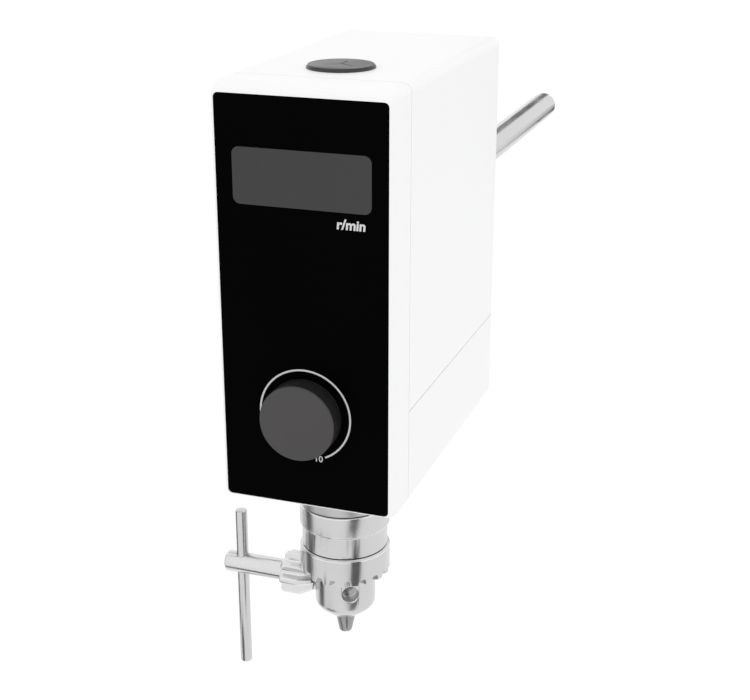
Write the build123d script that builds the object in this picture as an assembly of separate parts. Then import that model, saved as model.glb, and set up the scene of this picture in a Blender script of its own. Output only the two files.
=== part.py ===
from build123d import *
import os
from math import cos, pi, radians, sin, sqrt, tan

# Overhead stirrer with a hollow spindle, a keyed drill chuck and a steel support rod.
# Lengths are in millimetres, X to the operator's right, Y to the back, Z up.
# The machine is drawn about its spindle: X = Y = 0 on the spindle axis, Z = 0 at the
# underside of the housing. Each finished piece is then moved so that the origin lies
# where the support rod leaves the rear wall, which is the place that a stand holds.

# Housing: a front cover, an upper shell and a lower shell that meet at two seams.
HOUSING_WIDTH = 83.0
HOUSING_HEIGHT = 190.0
FACE_REACH = 48.9
REAR_REACH = 118.1
COVER_DEPTH = 20.7
SPLIT_HEIGHT = 44.0
SEAM = 0.4
WALL = 2.5
EDGE_RADIUS = 4.0
BASE_RADIUS = 1.5
SMALL_RADIUS = 0.5

# The cover's front edges fall back along a quarter ellipse.
SIDE_INSET = 2.3
TOP_INSET = 4.2
BASE_INSET = 0.8
CURVE_DEPTH = 9.0
COVER_WALL = 4.0
LIP_THICKNESS = 1.2
LIP_HEIGHT = 3.0

# Clearances: SEAT between fixed pieces that locate each other, FIT between a shaft
# and its bearing, RUN between pieces that move past each other.
SEAT = 0.15
FIT = 0.05
RUN = 0.3

# Front panel, display and knob.
PANEL_SIDE_INSET = 2.8
PANEL_TOP_INSET = 4.8
PANEL_BASE = 1.2
PANEL_THICKNESS = 1.5
PANEL_CORNER = 2.2
FRONT_WALL = 2.5
WINDOW_MARGIN = 7.4
WINDOW_HEIGHT = 24.8
WINDOW_DROP = 39.3
WINDOW_CORNER = 2.8
WINDOW_FLANGE = 1.8
FLANGE_THICKNESS = 1.0
MODULE_MARGIN = 3.3
MODULE_HEIGHT = 22.0
DIGITS = 4
DIGIT_HEIGHT = 15.0
DIGIT_MARGIN = 2.0
DIGIT_GAP = 4.0
DIGIT_RECESS = 0.8
BOARD_THICKNESS = 1.6
CONTROL_BOARD_MARGIN = 3.3
CONTROL_BOARD_BASE = 24.0
CONTROL_BOARD_DROP = 18.0
CONTROL_BOARD_GAP = 6.4
BOARD_SCREW_INSET = 4.0
BOARD_POST_RADIUS = 3.0
BOARD_HOLE_RADIUS = 1.6

KNOB_LEVEL = 44.8
KNOB_RADIUS = 17.4
KNOB_REACH = 11.0
KNOB_GAP = 0.5
KNOB_SHELL = 2.0
KNOB_FACE = 2.6
KNOB_HUB_RADIUS = 5.5
KNOB_EDGE = 0.7
KNOB_GROOVE_BACK = 1.6
KNOB_GROOVE = 0.35
POT_RADIUS = 8.0
POT_BUSH_RADIUS = 3.6
POT_BUSH_REACH = 2.6
POT_SHAFT_RADIUS = 3.0
POT_SHAFT_FLAT = 2.2
POT_NUT_WIDTH = 10.0
POT_NUT_THICKNESS = 2.1

# Slit cap over the spindle, in a cup that is moulded into the upper shell.
CAP_LIP_RADIUS = 15.3
CAP_TOP_RADIUS = 14.65
CAP_HEIGHT = 1.6
CAP_STEP = 0.8
CAP_PLUG_RADIUS = 13.9
CAP_PLUG_DEPTH = 6.0
CAP_PLUG_WALL = 2.4
CAP_SLIT_LENGTH = 7.6
CAP_SLIT_WIDTH = 0.5
CUP_DEPTH = 9.0
CUP_WALL = 1.6
GUIDE_RADIUS = 8.0
GUIDE_GAP = 4.0

# Support rod and the boss that carries it.
ROD_X = 16.0
ROD_DROP = 75.0
ROD_RADIUS = 8.0
ROD_LENGTH = 220.0
ROD_CHAMFER = 1.2
ROD_SEAT_RADIUS = 7.0
ROD_SEAT_LENGTH = 31.0
ROD_BOSS_RADIUS = 15.0
ROD_NECK_RADIUS = 11.0
ROD_SCREW_RADIUS = 3.0
ROD_SCREW_LENGTH = 9.0
ROD_SCREW_SOCKET = 3.0

# Chassis: a base plate, a bearing plate, and a cast rear frame with gussets between them.
CHASSIS_SIDE_GAP = 2.0
CHASSIS_FRONT_GAP = 18.9
BASE_PLATE_LEVEL = 5.0
BASE_PLATE_THICKNESS = 6.0
TOP_PLATE_DROP = 100.0
TOP_PLATE_THICKNESS = 8.0
REAR_PLATE_THICKNESS = 6.0
REAR_PLATE_GAP = 8.1
GUSSET_THICKNESS = 4.0
GUSSET_REACH = 46.0
GUSSET_RISE = 19.0
MOTOR_RELIEF = 1.0
COVER_SCREW_INSET = 3.5
COVER_SCREW_BASE = 8.0
SCREW_POST_RADIUS = 4.0
SCREW_RADIUS = 1.7
SCREW_HEAD_RADIUS = 3.2
SCREW_HEAD_HEIGHT = 1.8
SCREW_GRIP = 9.0
REAR_SCREW_INSET = 7.0
REAR_SCREW_RISE = 16.0
REAR_SCREW_DROP = 6.0
BASE_SCREW_INSET = 6.0
BASE_SCREW_FRONT_INSET = 13.0
BASE_SCREW_BACK_INSET = 5.0
BASE_BOSS_RADIUS = 5.0

# Spindle, its two ball bearings and the bearing housing below the base plate.
SPINDLE_RADIUS = 8.5
SPINDLE_BORE = 5.3
SPINDLE_NECK_RADIUS = 8.0
SPINDLE_TAIL_RADIUS = 7.0
SPINDLE_COLLAR_RADIUS = 10.5
SPINDLE_COLLAR_HEIGHT = 2.0
BEARING_RADIUS = 17.5
BEARING_WIDTH = 10.0
SHIELD_DEPTH = 0.6
SHIELD_INNER = 10.6
SHIELD_OUTER = 15.4
BEARING_BOSS_RADIUS = 22.0
BEARING_LIP = 2.5
NOSE_RADIUS = 22.0
NOSE_DROP = 18.5
NOSE_FLOOR = 3.5
NOSE_FLANGE_RADIUS = 29.0
NOSE_FLANGE_THICKNESS = 4.0
FLANGE_SCREWS = 3
FLANGE_SCREW_CIRCLE = 25.6
RETAINER_WIDTH = 5.0
RETAINER_HEIGHT = 2.0

# Drive: motor behind the spindle, two ribbed pulleys and a ribbed belt above the plate.
MOTOR_SHIFT = 1.0
MOTOR_RADIUS = 28.0
MOTOR_FOOT_GAP = 3.0
MOTOR_WALL = 2.0
MOTOR_END = 3.0
MOTOR_SPIGOT_RADIUS = 11.0
MOTOR_SPIGOT_HEIGHT = 3.0
MOTOR_SHAFT_RADIUS = 4.0
MAGNET_THICKNESS = 4.6
MAGNET_END_GAP = 5.0
AIR_GAP = 0.5
ROTOR_SLOTS = 12
ROTOR_SLOT_WIDTH = 2.4
ROTOR_SLOT_DEPTH = 6.0
MOTOR_SCREW_CIRCLE = 18.0
MOTOR_SCREWS = 4
MOTOR_PULLEY_RADIUS = 9.0
SPINDLE_PULLEY_RADIUS = 21.0
PULLEY_FLANGE = 1.5
PULLEY_FLANGE_THICKNESS = 1.2
PULLEY_WEB = 5.0
PULLEY_HOLES = 5
PULLEY_HOLE_RADIUS = 2.6
HUB_RADIUS = 12.0
BELT_WIDTH = 9.0
BELT_THICKNESS = 2.2
BELT_RIBS = 4
RIB_DEPTH = 0.9
BELT_LIFT = 8.0
NUT_RADIUS = 12.0
NUT_HEIGHT = 4.0
NUT_SLOTS = 4
NUT_SLOT = 3.0
DISC_RADIUS = 16.0
DISC_THICKNESS = 1.0
DISC_SLOTS = 12
DISC_SLOT_WIDTH = 1.6
DISC_SLOT_DEPTH = 3.0
DISC_HUB_RADIUS = 10.5
DISC_HUB_HEIGHT = 5.0
DISC_DROP = 8.0
SENSOR_WIDTH = 12.0
SENSOR_DEPTH = 11.0
SENSOR_SLOT = 3.6
SENSOR_OVERLAP = 3.5

# Mains board on four pillars above the belt.
POWER_BOARD_DROP = 56.0
POWER_BOARD_FRONT = 22.0
POWER_BOARD_MARGIN = 2.0
PILLAR_RADIUS = 3.0
PILLAR_INSET = 7.0
PILLAR_FRONT = 34.0
PILLAR_BOSS_GAP = 17.1
RIBBON_WIDTH = 20.0
RIBBON_THICKNESS = 0.9
RIBBON_INSET = 13.0
RIBBON_RISE = 1.3
RIBBON_BEND = 5.0
PLUG_DEPTH = 6.0
PLUG_HEIGHT = 8.0

# Mains inlet and rocker switch in the rear wall of the lower shell.
INLET_X = -16.0
INLET_LEVEL = 24.0
INLET_WIDTH = 27.0
INLET_HEIGHT = 20.0
INLET_DEPTH = 24.0
INLET_FLANGE = 2.2
INLET_FLANGE_THICKNESS = 2.0
SOCKET_WIDTH = 24.0
SOCKET_HEIGHT = 16.0
SOCKET_DEPTH = 17.0
SOCKET_CORNER = 4.5
PIN_WIDTH = 2.0
PIN_HEIGHT = 4.0
PIN_LENGTH = 12.0
PIN_PITCH = 7.0
PIN_RISE = 2.0
SWITCH_X = 20.0
SWITCH_WIDTH = 14.0
SWITCH_HEIGHT = 20.0
SWITCH_DEPTH = 15.0
SWITCH_WALL = 1.3
ROCKER_LENGTH = 7.2
ROCKER_CROWN = 5.6
ROCKER_DISH = 4.2
ROCKER_KEEL = 2.4
ROCKER_PIVOT_DEPTH = 3.1
ROCKER_PIN_RADIUS = 1.2
ROCKER_PIN_REACH = 0.9
ROCKER_TILT = 12.0

# Ventilation slots in the floor under the motor.
VENTS = 7
VENT_LENGTH = 36.0
VENT_WIDTH = 3.0
VENT_PITCH = 6.5

# Keyed chuck. Heights are measured down from the underside of the housing.
CHUCK_GAP = 0.4
COLLAR_RADIUS = 22.0
COLLAR_BOTTOM = 29.9
NECK_RADIUS = 20.9
NECK_BOTTOM = 40.9
NECK_CHAMFER = 0.5
CORE_RADIUS = 17.8
CORE_BOTTOM = 43.7
GROOVE_BOTTOM = 51.5
GROOVE_DEPTH = 0.6
CHUCK_NOSE_RADIUS = 14.9
CONE_TOP = 74.7
CONE_BOTTOM = 82.2
CONE_FILLET = 5.0
MOUTH_RADIUS = 5.5
MOUTH_LIP = 0.2
TAIL_SEAT_DEPTH = 15.0
SLEEVE_RADIUS = 22.1
SLEEVE_CHAMFER = 0.9

# Bevel drive of the sleeve: both pitch cones meet where the key's axis cuts the spindle's.
KEY_LEVEL = 64.0
KEY_HOLE_RADIUS = 4.1
KEY_HOLE_DEPTH = 6.4
KEY_HOLE_CHAMFER = 0.45
SLEEVE_TEETH = 19
KEY_TEETH = 8
GEAR_RADIUS = 22.0
SLEEVE_ADDENDUM = 0.6
SLEEVE_DEDENDUM = 2.4
KEY_ADDENDUM = 1.6
KEY_DEDENDUM = 1.8
TOOTH_SLOPE = 15.0
TOOTH_SHARE = 0.43
TOOTH_OPENING = 1.0
KEY_FACE_GAP = 0.5
KEY_GEAR_LENGTH = 16.2
KEY_SHANK_RADIUS = 5.35
KEY_REACH = 64.2
KEY_CHAMFER = 0.8
BAR_RADIUS = 3.0
BAR_LENGTH = 87.2
BAR_INSET = 8.5
BAR_DROP = 13.7
BAR_CHAMFER = 0.7

# Jaws: round bars in slanted bores, cut to a three-sided grip along the spindle axis.
JAWS = 3
JAW_RADIUS = 3.4
JAW_TILT = 12.5
JAW_LENGTH = 49.5
JAW_TIP = 91.8
JAW_TIP_OFFSET = -0.42
JAW_ROUND = 0.8
GRIP_CLEARANCE = 0.2
GRIP_FLAT = 0.35
GRIP_OPENING = 5.2

# Levels and radii that follow from the sizes above.
PANEL_WIDTH = HOUSING_WIDTH - 2 * PANEL_SIDE_INSET
PANEL_HEIGHT = HOUSING_HEIGHT - PANEL_BASE - PANEL_TOP_INSET
WINDOW_WIDTH = PANEL_WIDTH - 2 * WINDOW_MARGIN
WINDOW_LEVEL = HOUSING_HEIGHT - WINDOW_DROP
MODULE_WIDTH = WINDOW_WIDTH - 2 * MODULE_MARGIN
DIGIT_PITCH = (MODULE_WIDTH - 2 * DIGIT_MARGIN) / DIGITS
DIGIT_WIDTH = DIGIT_PITCH - DIGIT_GAP
CONTROL_BOARD_WIDTH = WINDOW_WIDTH - 2 * CONTROL_BOARD_MARGIN
CONTROL_BOARD_TOP = HOUSING_HEIGHT - CONTROL_BOARD_DROP
ROD_LEVEL = HOUSING_HEIGHT - ROD_DROP
CHASSIS_WIDTH = HOUSING_WIDTH - 2 * (WALL + CHASSIS_SIDE_GAP)
CHASSIS_FRONT = FACE_REACH - CHASSIS_FRONT_GAP
TOP_PLATE_LEVEL = HOUSING_HEIGHT - TOP_PLATE_DROP
REAR_PLATE_TOP = ROD_LEVEL + ROD_BOSS_RADIUS
SEAM_Y = COVER_DEPTH - FACE_REACH
POCKET_Y = PANEL_THICKNESS - FACE_REACH
INNER_FACE_Y = POCKET_Y + FRONT_WALL
BOARD_FACE_Y = INNER_FACE_Y + CONTROL_BOARD_GAP
BOARD_BACK_Y = BOARD_FACE_Y + BOARD_THICKNESS
KNOB_FACE_Y = -FACE_REACH - KNOB_REACH
REAR_PLATE_BACK = REAR_REACH - REAR_PLATE_GAP
REAR_PLATE_FRONT = REAR_PLATE_BACK - REAR_PLATE_THICKNESS
REAR_INNER = REAR_REACH - WALL
BASE_PLATE_TOP = BASE_PLATE_LEVEL + BASE_PLATE_THICKNESS
TOP_PLATE_TOP = TOP_PLATE_LEVEL + TOP_PLATE_THICKNESS
COVER_SCREW_X = CHASSIS_WIDTH / 2 - COVER_SCREW_INSET
COVER_SCREW_TOP = TOP_PLATE_LEVEL + TOP_PLATE_THICKNESS / 2
REAR_SCREW_X = CHASSIS_WIDTH / 2 - REAR_SCREW_INSET
REAR_SCREW_LEVELS = (SPLIT_HEIGHT + REAR_SCREW_RISE, REAR_PLATE_TOP - REAR_SCREW_DROP)
BASE_SCREW_X = CHASSIS_WIDTH / 2 - BASE_SCREW_INSET
BASE_SCREW_FRONT = BASE_SCREW_FRONT_INSET - CHASSIS_FRONT
BASE_SCREW_BACK = REAR_PLATE_FRONT - BASE_SCREW_BACK_INSET
COVER_TOP = HOUSING_HEIGHT - TOP_INSET - FRONT_WALL
MOTOR_BACK = (BEARING_BOSS_RADIUS + REAR_PLATE_FRONT) / 2 - MOTOR_SHIFT
MOTOR_BASE = INLET_LEVEL + INLET_HEIGHT / 2 + MOTOR_FOOT_GAP
MOTOR_LENGTH = TOP_PLATE_LEVEL - MOTOR_BASE
MAGNET_LENGTH = MOTOR_LENGTH - 2 * MAGNET_END_GAP
POWER_BOARD_LEVEL = HOUSING_HEIGHT - POWER_BOARD_DROP
POWER_BOARD_WIDTH = CHASSIS_WIDTH - 2 * POWER_BOARD_MARGIN
POWER_BOARD_BACK = REAR_PLATE_FRONT
PILLAR_X = CHASSIS_WIDTH / 2 - PILLAR_INSET
PILLAR_MIDDLE = REAR_REACH - ROD_SEAT_LENGTH - PILLAR_BOSS_GAP
PILLAR_BACK = POWER_BOARD_BACK - PILLAR_INSET
RIBBON_X = RIBBON_INSET - POWER_BOARD_WIDTH / 2
RIBBON_LEVEL = WINDOW_LEVEL + RIBBON_RISE
LOWER_BEARING_LEVEL = NOSE_FLOOR - NOSE_DROP
UPPER_BEARING_LEVEL = TOP_PLATE_TOP - BEARING_WIDTH
BELT_LEVEL = TOP_PLATE_TOP + BELT_LIFT
BELT_TOP = BELT_LEVEL + BELT_WIDTH
PULLEY_BASE = BELT_LEVEL - PULLEY_FLANGE_THICKNESS - RUN
PULLEY_TOP = BELT_TOP + PULLEY_FLANGE_THICKNESS + RUN
SPINDLE_TOP = PULLEY_TOP + NUT_HEIGHT + 2 * RUN
SHOULDER_LEVEL = TOP_PLATE_TOP + RUN
CHUCK_TOP = NOSE_DROP + CHUCK_GAP
JAW_SLOPE = tan(radians(JAW_TILT))
JAW_TRAVEL = (GRIP_OPENING - GRIP_FLAT) / sin(radians(JAW_TILT))
PITCH_SLOPE = KEY_TEETH / SLEEVE_TEETH
TOOTH_PITCH = 2 * pi * GEAR_RADIUS / SLEEVE_TEETH
KEY_FACE = CHUCK_NOSE_RADIUS + KEY_FACE_GAP
BAR_DISTANCE = KEY_REACH - BAR_INSET
ROCKER_PIVOT_Y = REAR_REACH - ROCKER_PIVOT_DEPTH
TO_ORIGIN = Pos(-ROD_X, -REAR_REACH, -ROD_LEVEL)


def brick(x0, x1, y0, y1, z0, z1):
    """Block between two corners."""
    centre = Pos((x0 + x1) / 2, (y0 + y1) / 2, (z0 + z1) / 2)
    return centre * Box(x1 - x0, y1 - y0, z1 - z0)


def bar_z(radius, z0, z1, x=0, y=0):
    """Upright cylinder."""
    return Pos(x, y, (z0 + z1) / 2) * Cylinder(radius, z1 - z0)


def bar_y(radius, y0, y1, x=0, z=0):
    """Cylinder that lies along Y."""
    return Pos(x, (y0 + y1) / 2, z) * Rot(90, 0, 0) * Cylinder(radius, y1 - y0)


def turned(*outline):
    """Body turned about the Z axis from its (radius, height) corners."""
    return revolve(make_face(Plane.XZ * Polyline(*outline, close=True)), Axis.Z)


def slab(width, height, y0, y1, x=0, z=0, corner=0):
    """Upright plate between two depths, with rounded corners if a radius is given."""
    outline = RectangleRounded(width, height, corner) if corner else Rectangle(width, height)
    return extrude(Plane.XZ.offset(-y1) * Pos(x, z) * outline, y1 - y0)


def around_z(shape, count, start=0):
    """Copies of a shape spread evenly about the Z axis."""
    return [Rot(0, 0, start + 360 / count * i) * shape for i in range(count)]


def screw_y(x, z, head_y, length, forward):
    """Pan-head screw along Y with a cross slot; its head looks forward or back."""
    side = -1 if forward else 1
    head_end = head_y + side * SCREW_HEAD_HEIGHT
    head = bar_y(SCREW_HEAD_RADIUS, min(head_y, head_end), max(head_y, head_end), x, z)
    rim = head.faces().sort_by(Axis.Y)[0 if forward else -1].edges()
    head = fillet(rim, SCREW_HEAD_HEIGHT / 2)
    tip = head_y - side * length
    shank = bar_y(SCREW_RADIUS, min(head_y, tip), max(head_y, tip), x, z)
    slot_reach = SCREW_HEAD_RADIUS * 0.6
    slot_width = SCREW_HEAD_RADIUS / 4
    slot_y = sorted((head_end + side, head_end - side * SCREW_HEAD_HEIGHT / 2))
    slot = brick(x - slot_reach, x + slot_reach, *slot_y, z - slot_width / 2, z + slot_width / 2)
    cross = brick(x - slot_width / 2, x + slot_width / 2, *slot_y, z - slot_reach, z + slot_reach)
    return head + shank - slot - cross


def cap_screw_z(x, y, seat, length):
    """Socket-head screw that stands on a plate, head up."""
    head = bar_z(SCREW_HEAD_RADIUS, seat, seat + SCREW_HEAD_HEIGHT, x, y)
    shank = bar_z(SCREW_RADIUS, seat - length, seat, x, y)
    across = SCREW_HEAD_RADIUS / 2
    socket = extrude(Pos(x, y, seat + SCREW_HEAD_HEIGHT / 2) * RegularPolygon(across, 6), length)
    return head + shank - socket


def housing_block(inset, front):
    """Rounded block behind the cover seam, drawn in by inset on its closed sides."""
    half = HOUSING_WIDTH / 2 - inset
    block = brick(-half, half, front, REAR_REACH - inset, inset, HOUSING_HEIGHT - inset)
    crown = block.edges().filter_by(Axis.Y).group_by(Axis.Z)[-1]
    back = block.faces().sort_by(Axis.Y)[-1].edges()
    back_rim = back.filter_by(Axis.Z) + back.filter_by(Axis.X).group_by(Axis.Z)[-1]
    block = fillet(crown + back_rim, max(EDGE_RADIUS - inset, SMALL_RADIUS))
    floor = block.faces().sort_by(Axis.Z)[0].edges()
    rim = [edge for edge in floor if edge.center().Y > front + SMALL_RADIUS]
    return fillet(rim, max(BASE_RADIUS - inset, SMALL_RADIUS))


def housing_shell():
    """Both shells in one piece, before they are parted at the split."""
    return housing_block(0, SEAM_Y + SEAM / 2) - housing_block(WALL, SEAM_Y - WALL)


def rear_screw_spots():
    """Places of the screws that hold the upper shell to the chassis."""
    return [(side * REAR_SCREW_X, z) for side in (-1, 1) for z in REAR_SCREW_LEVELS]


def base_screw_spots():
    """Places of the screws that hold the lower shell to the chassis."""
    return [(side * BASE_SCREW_X, y) for side in (-1, 1) for y in (BASE_SCREW_FRONT, BASE_SCREW_BACK)]


def cover_screw_spots():
    """Places of the screws that hold the front cover; the panel hides them."""
    return [(side * COVER_SCREW_X, z) for side in (-1, 1) for z in (COVER_SCREW_BASE, COVER_SCREW_TOP)]


def board_screw_spots():
    """Corner holes of the control board."""
    x = CONTROL_BOARD_WIDTH / 2 - BOARD_SCREW_INSET
    base = CONTROL_BOARD_BASE + BOARD_SCREW_INSET
    top = CONTROL_BOARD_TOP - BOARD_SCREW_INSET
    return [(side * x, z) for side in (-1, 1) for z in (base, top)]


def pillar_spots():
    """Pillars of the mains board; one stands forward, clear of the rod's boss."""
    front = [(side * PILLAR_X, PILLAR_FRONT) for side in (-1, 1)]
    return front + [(-PILLAR_X, PILLAR_BACK), (PILLAR_X, PILLAR_MIDDLE)]


def upper_housing():
    """White shell: top, sides and rear, open below and to the front."""
    shell = housing_shell()
    shell = shell & brick(-HOUSING_WIDTH, HOUSING_WIDTH, -FACE_REACH, REAR_REACH + WALL,
                          SPLIT_HEIGHT + SEAM / 2, HOUSING_HEIGHT + WALL)
    ceiling = HOUSING_HEIGHT - WALL / 2
    cup_radius = CAP_PLUG_RADIUS + SEAT
    cup_floor = HOUSING_HEIGHT - CUP_DEPTH
    guide_base = SPINDLE_TOP + GUIDE_GAP
    shell += bar_z(cup_radius + CUP_WALL, cup_floor - CUP_WALL, ceiling)
    shell += bar_z(GUIDE_RADIUS + CUP_WALL, guide_base, cup_floor)
    shell -= bar_z(cup_radius, cup_floor, HOUSING_HEIGHT + WALL)
    shell -= bar_z(GUIDE_RADIUS, guide_base - WALL, HOUSING_HEIGHT)
    shell -= bar_y(ROD_NECK_RADIUS + RUN, REAR_INNER - WALL, REAR_REACH + WALL, ROD_X, ROD_LEVEL)
    for x, z in rear_screw_spots():
        shell -= bar_y(SCREW_RADIUS + SEAT, REAR_INNER - WALL, REAR_REACH + WALL, x, z)
    return shell


def lower_housing():
    """White base shell with its locating lip, vents and the rear cut-outs."""
    shell = housing_shell()
    shell = shell & brick(-HOUSING_WIDTH, HOUSING_WIDTH, -FACE_REACH, REAR_REACH + WALL,
                          -WALL, SPLIT_HEIGHT - SEAM / 2)
    front = SEAM_Y + LIP_HEIGHT + 2 * SEAT
    foot = SPLIT_HEIGHT - LIP_HEIGHT
    crest = SPLIT_HEIGHT + LIP_HEIGHT
    hollow = housing_block(WALL + LIP_THICKNESS, front - WALL)
    root = brick(-HOUSING_WIDTH, HOUSING_WIDTH, front, REAR_REACH, foot, SPLIT_HEIGHT - SEAM / 2)
    tongue = brick(-HOUSING_WIDTH, HOUSING_WIDTH, front, REAR_REACH, foot, crest)
    shell += (housing_block(WALL - SEAT, front) & root) - hollow
    shell += (housing_block(WALL + SEAT, front) & tongue) - hollow
    for x, y in base_screw_spots():
        shell += bar_z(BASE_BOSS_RADIUS, WALL / 2, BASE_PLATE_LEVEL, x, y)
        shell -= bar_z(SCREW_RADIUS + SEAT, -WALL, BASE_PLATE_LEVEL + WALL, x, y)
        shell -= bar_z(SCREW_HEAD_RADIUS + SEAT, -WALL, SCREW_HEAD_HEIGHT, x, y)
    shell -= bar_z(NOSE_RADIUS + 2 * SEAT, -WALL, BASE_PLATE_LEVEL)
    vent = SlotOverall(VENT_LENGTH, VENT_WIDTH)
    for i in range(VENTS):
        y = MOTOR_BACK + (i - (VENTS - 1) / 2) * VENT_PITCH
        shell -= extrude(Pos(0, y, -WALL) * vent, 3 * WALL)
    shell -= slab(INLET_WIDTH + 2 * SEAT, INLET_HEIGHT + 2 * SEAT, REAR_INNER - 2 * WALL,
                  REAR_REACH + WALL, INLET_X, INLET_LEVEL)
    shell -= slab(SWITCH_WIDTH + 2 * SEAT, SWITCH_HEIGHT + 2 * SEAT, REAR_INNER - 2 * WALL,
                  REAR_REACH + WALL, SWITCH_X, INLET_LEVEL)
    return shell


def cover_section(depth):
    """Outline of the front cover at a depth behind the panel face."""
    back = max(CURVE_DEPTH - depth, 0) / CURVE_DEPTH
    fall = 1 - sqrt(1 - back * back)
    width = HOUSING_WIDTH - 2 * SIDE_INSET * fall
    base = BASE_INSET * fall
    top = HOUSING_HEIGHT - TOP_INSET * fall
    outline = Rectangle(width, top - base)
    outline = fillet(outline.vertices().group_by(Axis.Y)[-1], EDGE_RADIUS)
    outline = fillet(outline.vertices().group_by(Axis.Y)[0], BASE_RADIUS)
    return Plane.XZ.offset(FACE_REACH - depth) * Pos(0, (base + top) / 2) * outline


def front_cover():
    """White moulded cover: curved front edges, a pocket for the panel, posts and a lip."""
    stations = [CURVE_DEPTH * share for share in (0, 0.03, 0.12, 0.3, 0.6, 1)]
    front = loft([cover_section(depth) for depth in stations])
    straight = COVER_DEPTH - SEAM / 2 - CURVE_DEPTH
    cover = front + extrude(cover_section(CURVE_DEPTH), -straight)
    inner = HOUSING_WIDTH / 2 - COVER_WALL
    cover -= brick(-inner, inner, INNER_FACE_Y, REAR_REACH, COVER_WALL, COVER_TOP)
    for x, z in cover_screw_spots():
        cover += bar_y(SCREW_POST_RADIUS, INNER_FACE_Y - SEAT, -CHASSIS_FRONT, x, z)
        cover -= bar_y(SCREW_RADIUS + SEAT, POCKET_Y - WALL, -CHASSIS_FRONT + WALL, x, z)
        cover -= bar_y(SCREW_HEAD_RADIUS + SEAT, POCKET_Y - WALL, POCKET_Y + SCREW_HEAD_HEIGHT, x, z)
    for x, z in board_screw_spots():
        cover += bar_y(BOARD_POST_RADIUS, INNER_FACE_Y - SEAT, BOARD_FACE_Y, x, z)
        cover -= bar_y(BOARD_HOLE_RADIUS / 2, INNER_FACE_Y, BOARD_FACE_Y + WALL, x, z)
    lip_base = WALL + SEAT
    lip_top = HOUSING_HEIGHT - WALL - SEAT
    lip_half = HOUSING_WIDTH / 2 - WALL - SEAT
    lip_back = SEAM_Y + LIP_HEIGHT
    lip_front = SEAM_Y - LIP_HEIGHT
    lip = brick(-lip_half, lip_half, lip_front, lip_back, lip_base, lip_top)
    lip = fillet(lip.edges().filter_by(Axis.Y).group_by(Axis.Z)[-1], max(EDGE_RADIUS - WALL, SMALL_RADIUS))
    lip = fillet(lip.edges().filter_by(Axis.Y).group_by(Axis.Z)[0], max(BASE_RADIUS - WALL, SMALL_RADIUS))
    thickness = LIP_THICKNESS
    cover += lip - brick(thickness - lip_half, lip_half - thickness, lip_front - WALL,
                         lip_back + WALL, lip_base + thickness, lip_top - thickness)
    pocket_level = PANEL_BASE + PANEL_HEIGHT / 2
    cover -= slab(PANEL_WIDTH + 2 * SEAT, PANEL_HEIGHT + 2 * SEAT, -FACE_REACH - WALL, POCKET_Y,
                  0, pocket_level, PANEL_CORNER)
    cover -= slab(WINDOW_WIDTH + 2 * SEAT, WINDOW_HEIGHT + 2 * SEAT, POCKET_Y - WALL,
                  INNER_FACE_Y + WALL, 0, WINDOW_LEVEL, WINDOW_CORNER)
    cover -= bar_y(POT_BUSH_RADIUS + SEAT, POCKET_Y - WALL, INNER_FACE_Y + WALL, 0, KNOB_LEVEL)
    return cover


def front_panel():
    """Black panel, glued into the pocket of the cover."""
    panel = slab(PANEL_WIDTH, PANEL_HEIGHT, -FACE_REACH, POCKET_Y, 0,
                 PANEL_BASE + PANEL_HEIGHT / 2, PANEL_CORNER)
    panel -= slab(WINDOW_WIDTH + 2 * SEAT, WINDOW_HEIGHT + 2 * SEAT, -FACE_REACH - WALL,
                  POCKET_Y + WALL, 0, WINDOW_LEVEL, WINDOW_CORNER)
    return panel - bar_y(POT_BUSH_RADIUS + SEAT, -FACE_REACH - WALL, POCKET_Y + WALL, 0, KNOB_LEVEL)


def display_window():
    """Grey window: a plug through panel and cover, with a flange behind the cover."""
    plug = slab(WINDOW_WIDTH, WINDOW_HEIGHT, -FACE_REACH, INNER_FACE_Y, 0, WINDOW_LEVEL, WINDOW_CORNER)
    return plug + slab(WINDOW_WIDTH + 2 * WINDOW_FLANGE, WINDOW_HEIGHT + 2 * WINDOW_FLANGE, INNER_FACE_Y,
                       INNER_FACE_Y + FLANGE_THICKNESS, 0, WINDOW_LEVEL, WINDOW_CORNER)


def display_module():
    """Four-digit display block between the window and the control board."""
    front = INNER_FACE_Y + FLANGE_THICKNESS
    module = slab(MODULE_WIDTH, MODULE_HEIGHT, front, BOARD_FACE_Y, 0, WINDOW_LEVEL)
    for i in range(DIGITS):
        x = (i - (DIGITS - 1) / 2) * DIGIT_PITCH
        module -= slab(DIGIT_WIDTH, DIGIT_HEIGHT, front - WALL, front + DIGIT_RECESS, x, WINDOW_LEVEL)
    return module


def control_board():
    """Upright board behind the panel, with a processor, a plug and two capacitors."""
    height = CONTROL_BOARD_TOP - CONTROL_BOARD_BASE
    level = CONTROL_BOARD_BASE + height / 2
    board = slab(CONTROL_BOARD_WIDTH, height, BOARD_FACE_Y, BOARD_BACK_Y, 0, level)
    for x, z in board_screw_spots():
        board -= bar_y(BOARD_HOLE_RADIUS, BOARD_FACE_Y - WALL, BOARD_BACK_Y + WALL, x, z)
    chip_depth = BOARD_THICKNESS
    board += slab(MODULE_HEIGHT / 2, MODULE_HEIGHT / 2, BOARD_BACK_Y, BOARD_BACK_Y + chip_depth, 0, level)
    board += slab(RIBBON_WIDTH + WALL, PLUG_HEIGHT, BOARD_BACK_Y, BOARD_BACK_Y + PLUG_DEPTH,
                  RIBBON_X + WALL, RIBBON_LEVEL)
    for side in (-1, 1):
        board += bar_y(PLUG_HEIGHT / 2, BOARD_BACK_Y, BOARD_BACK_Y + PLUG_DEPTH,
                       side * MODULE_HEIGHT / 2, KNOB_LEVEL + 2 * POT_RADIUS)
    return board


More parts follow.
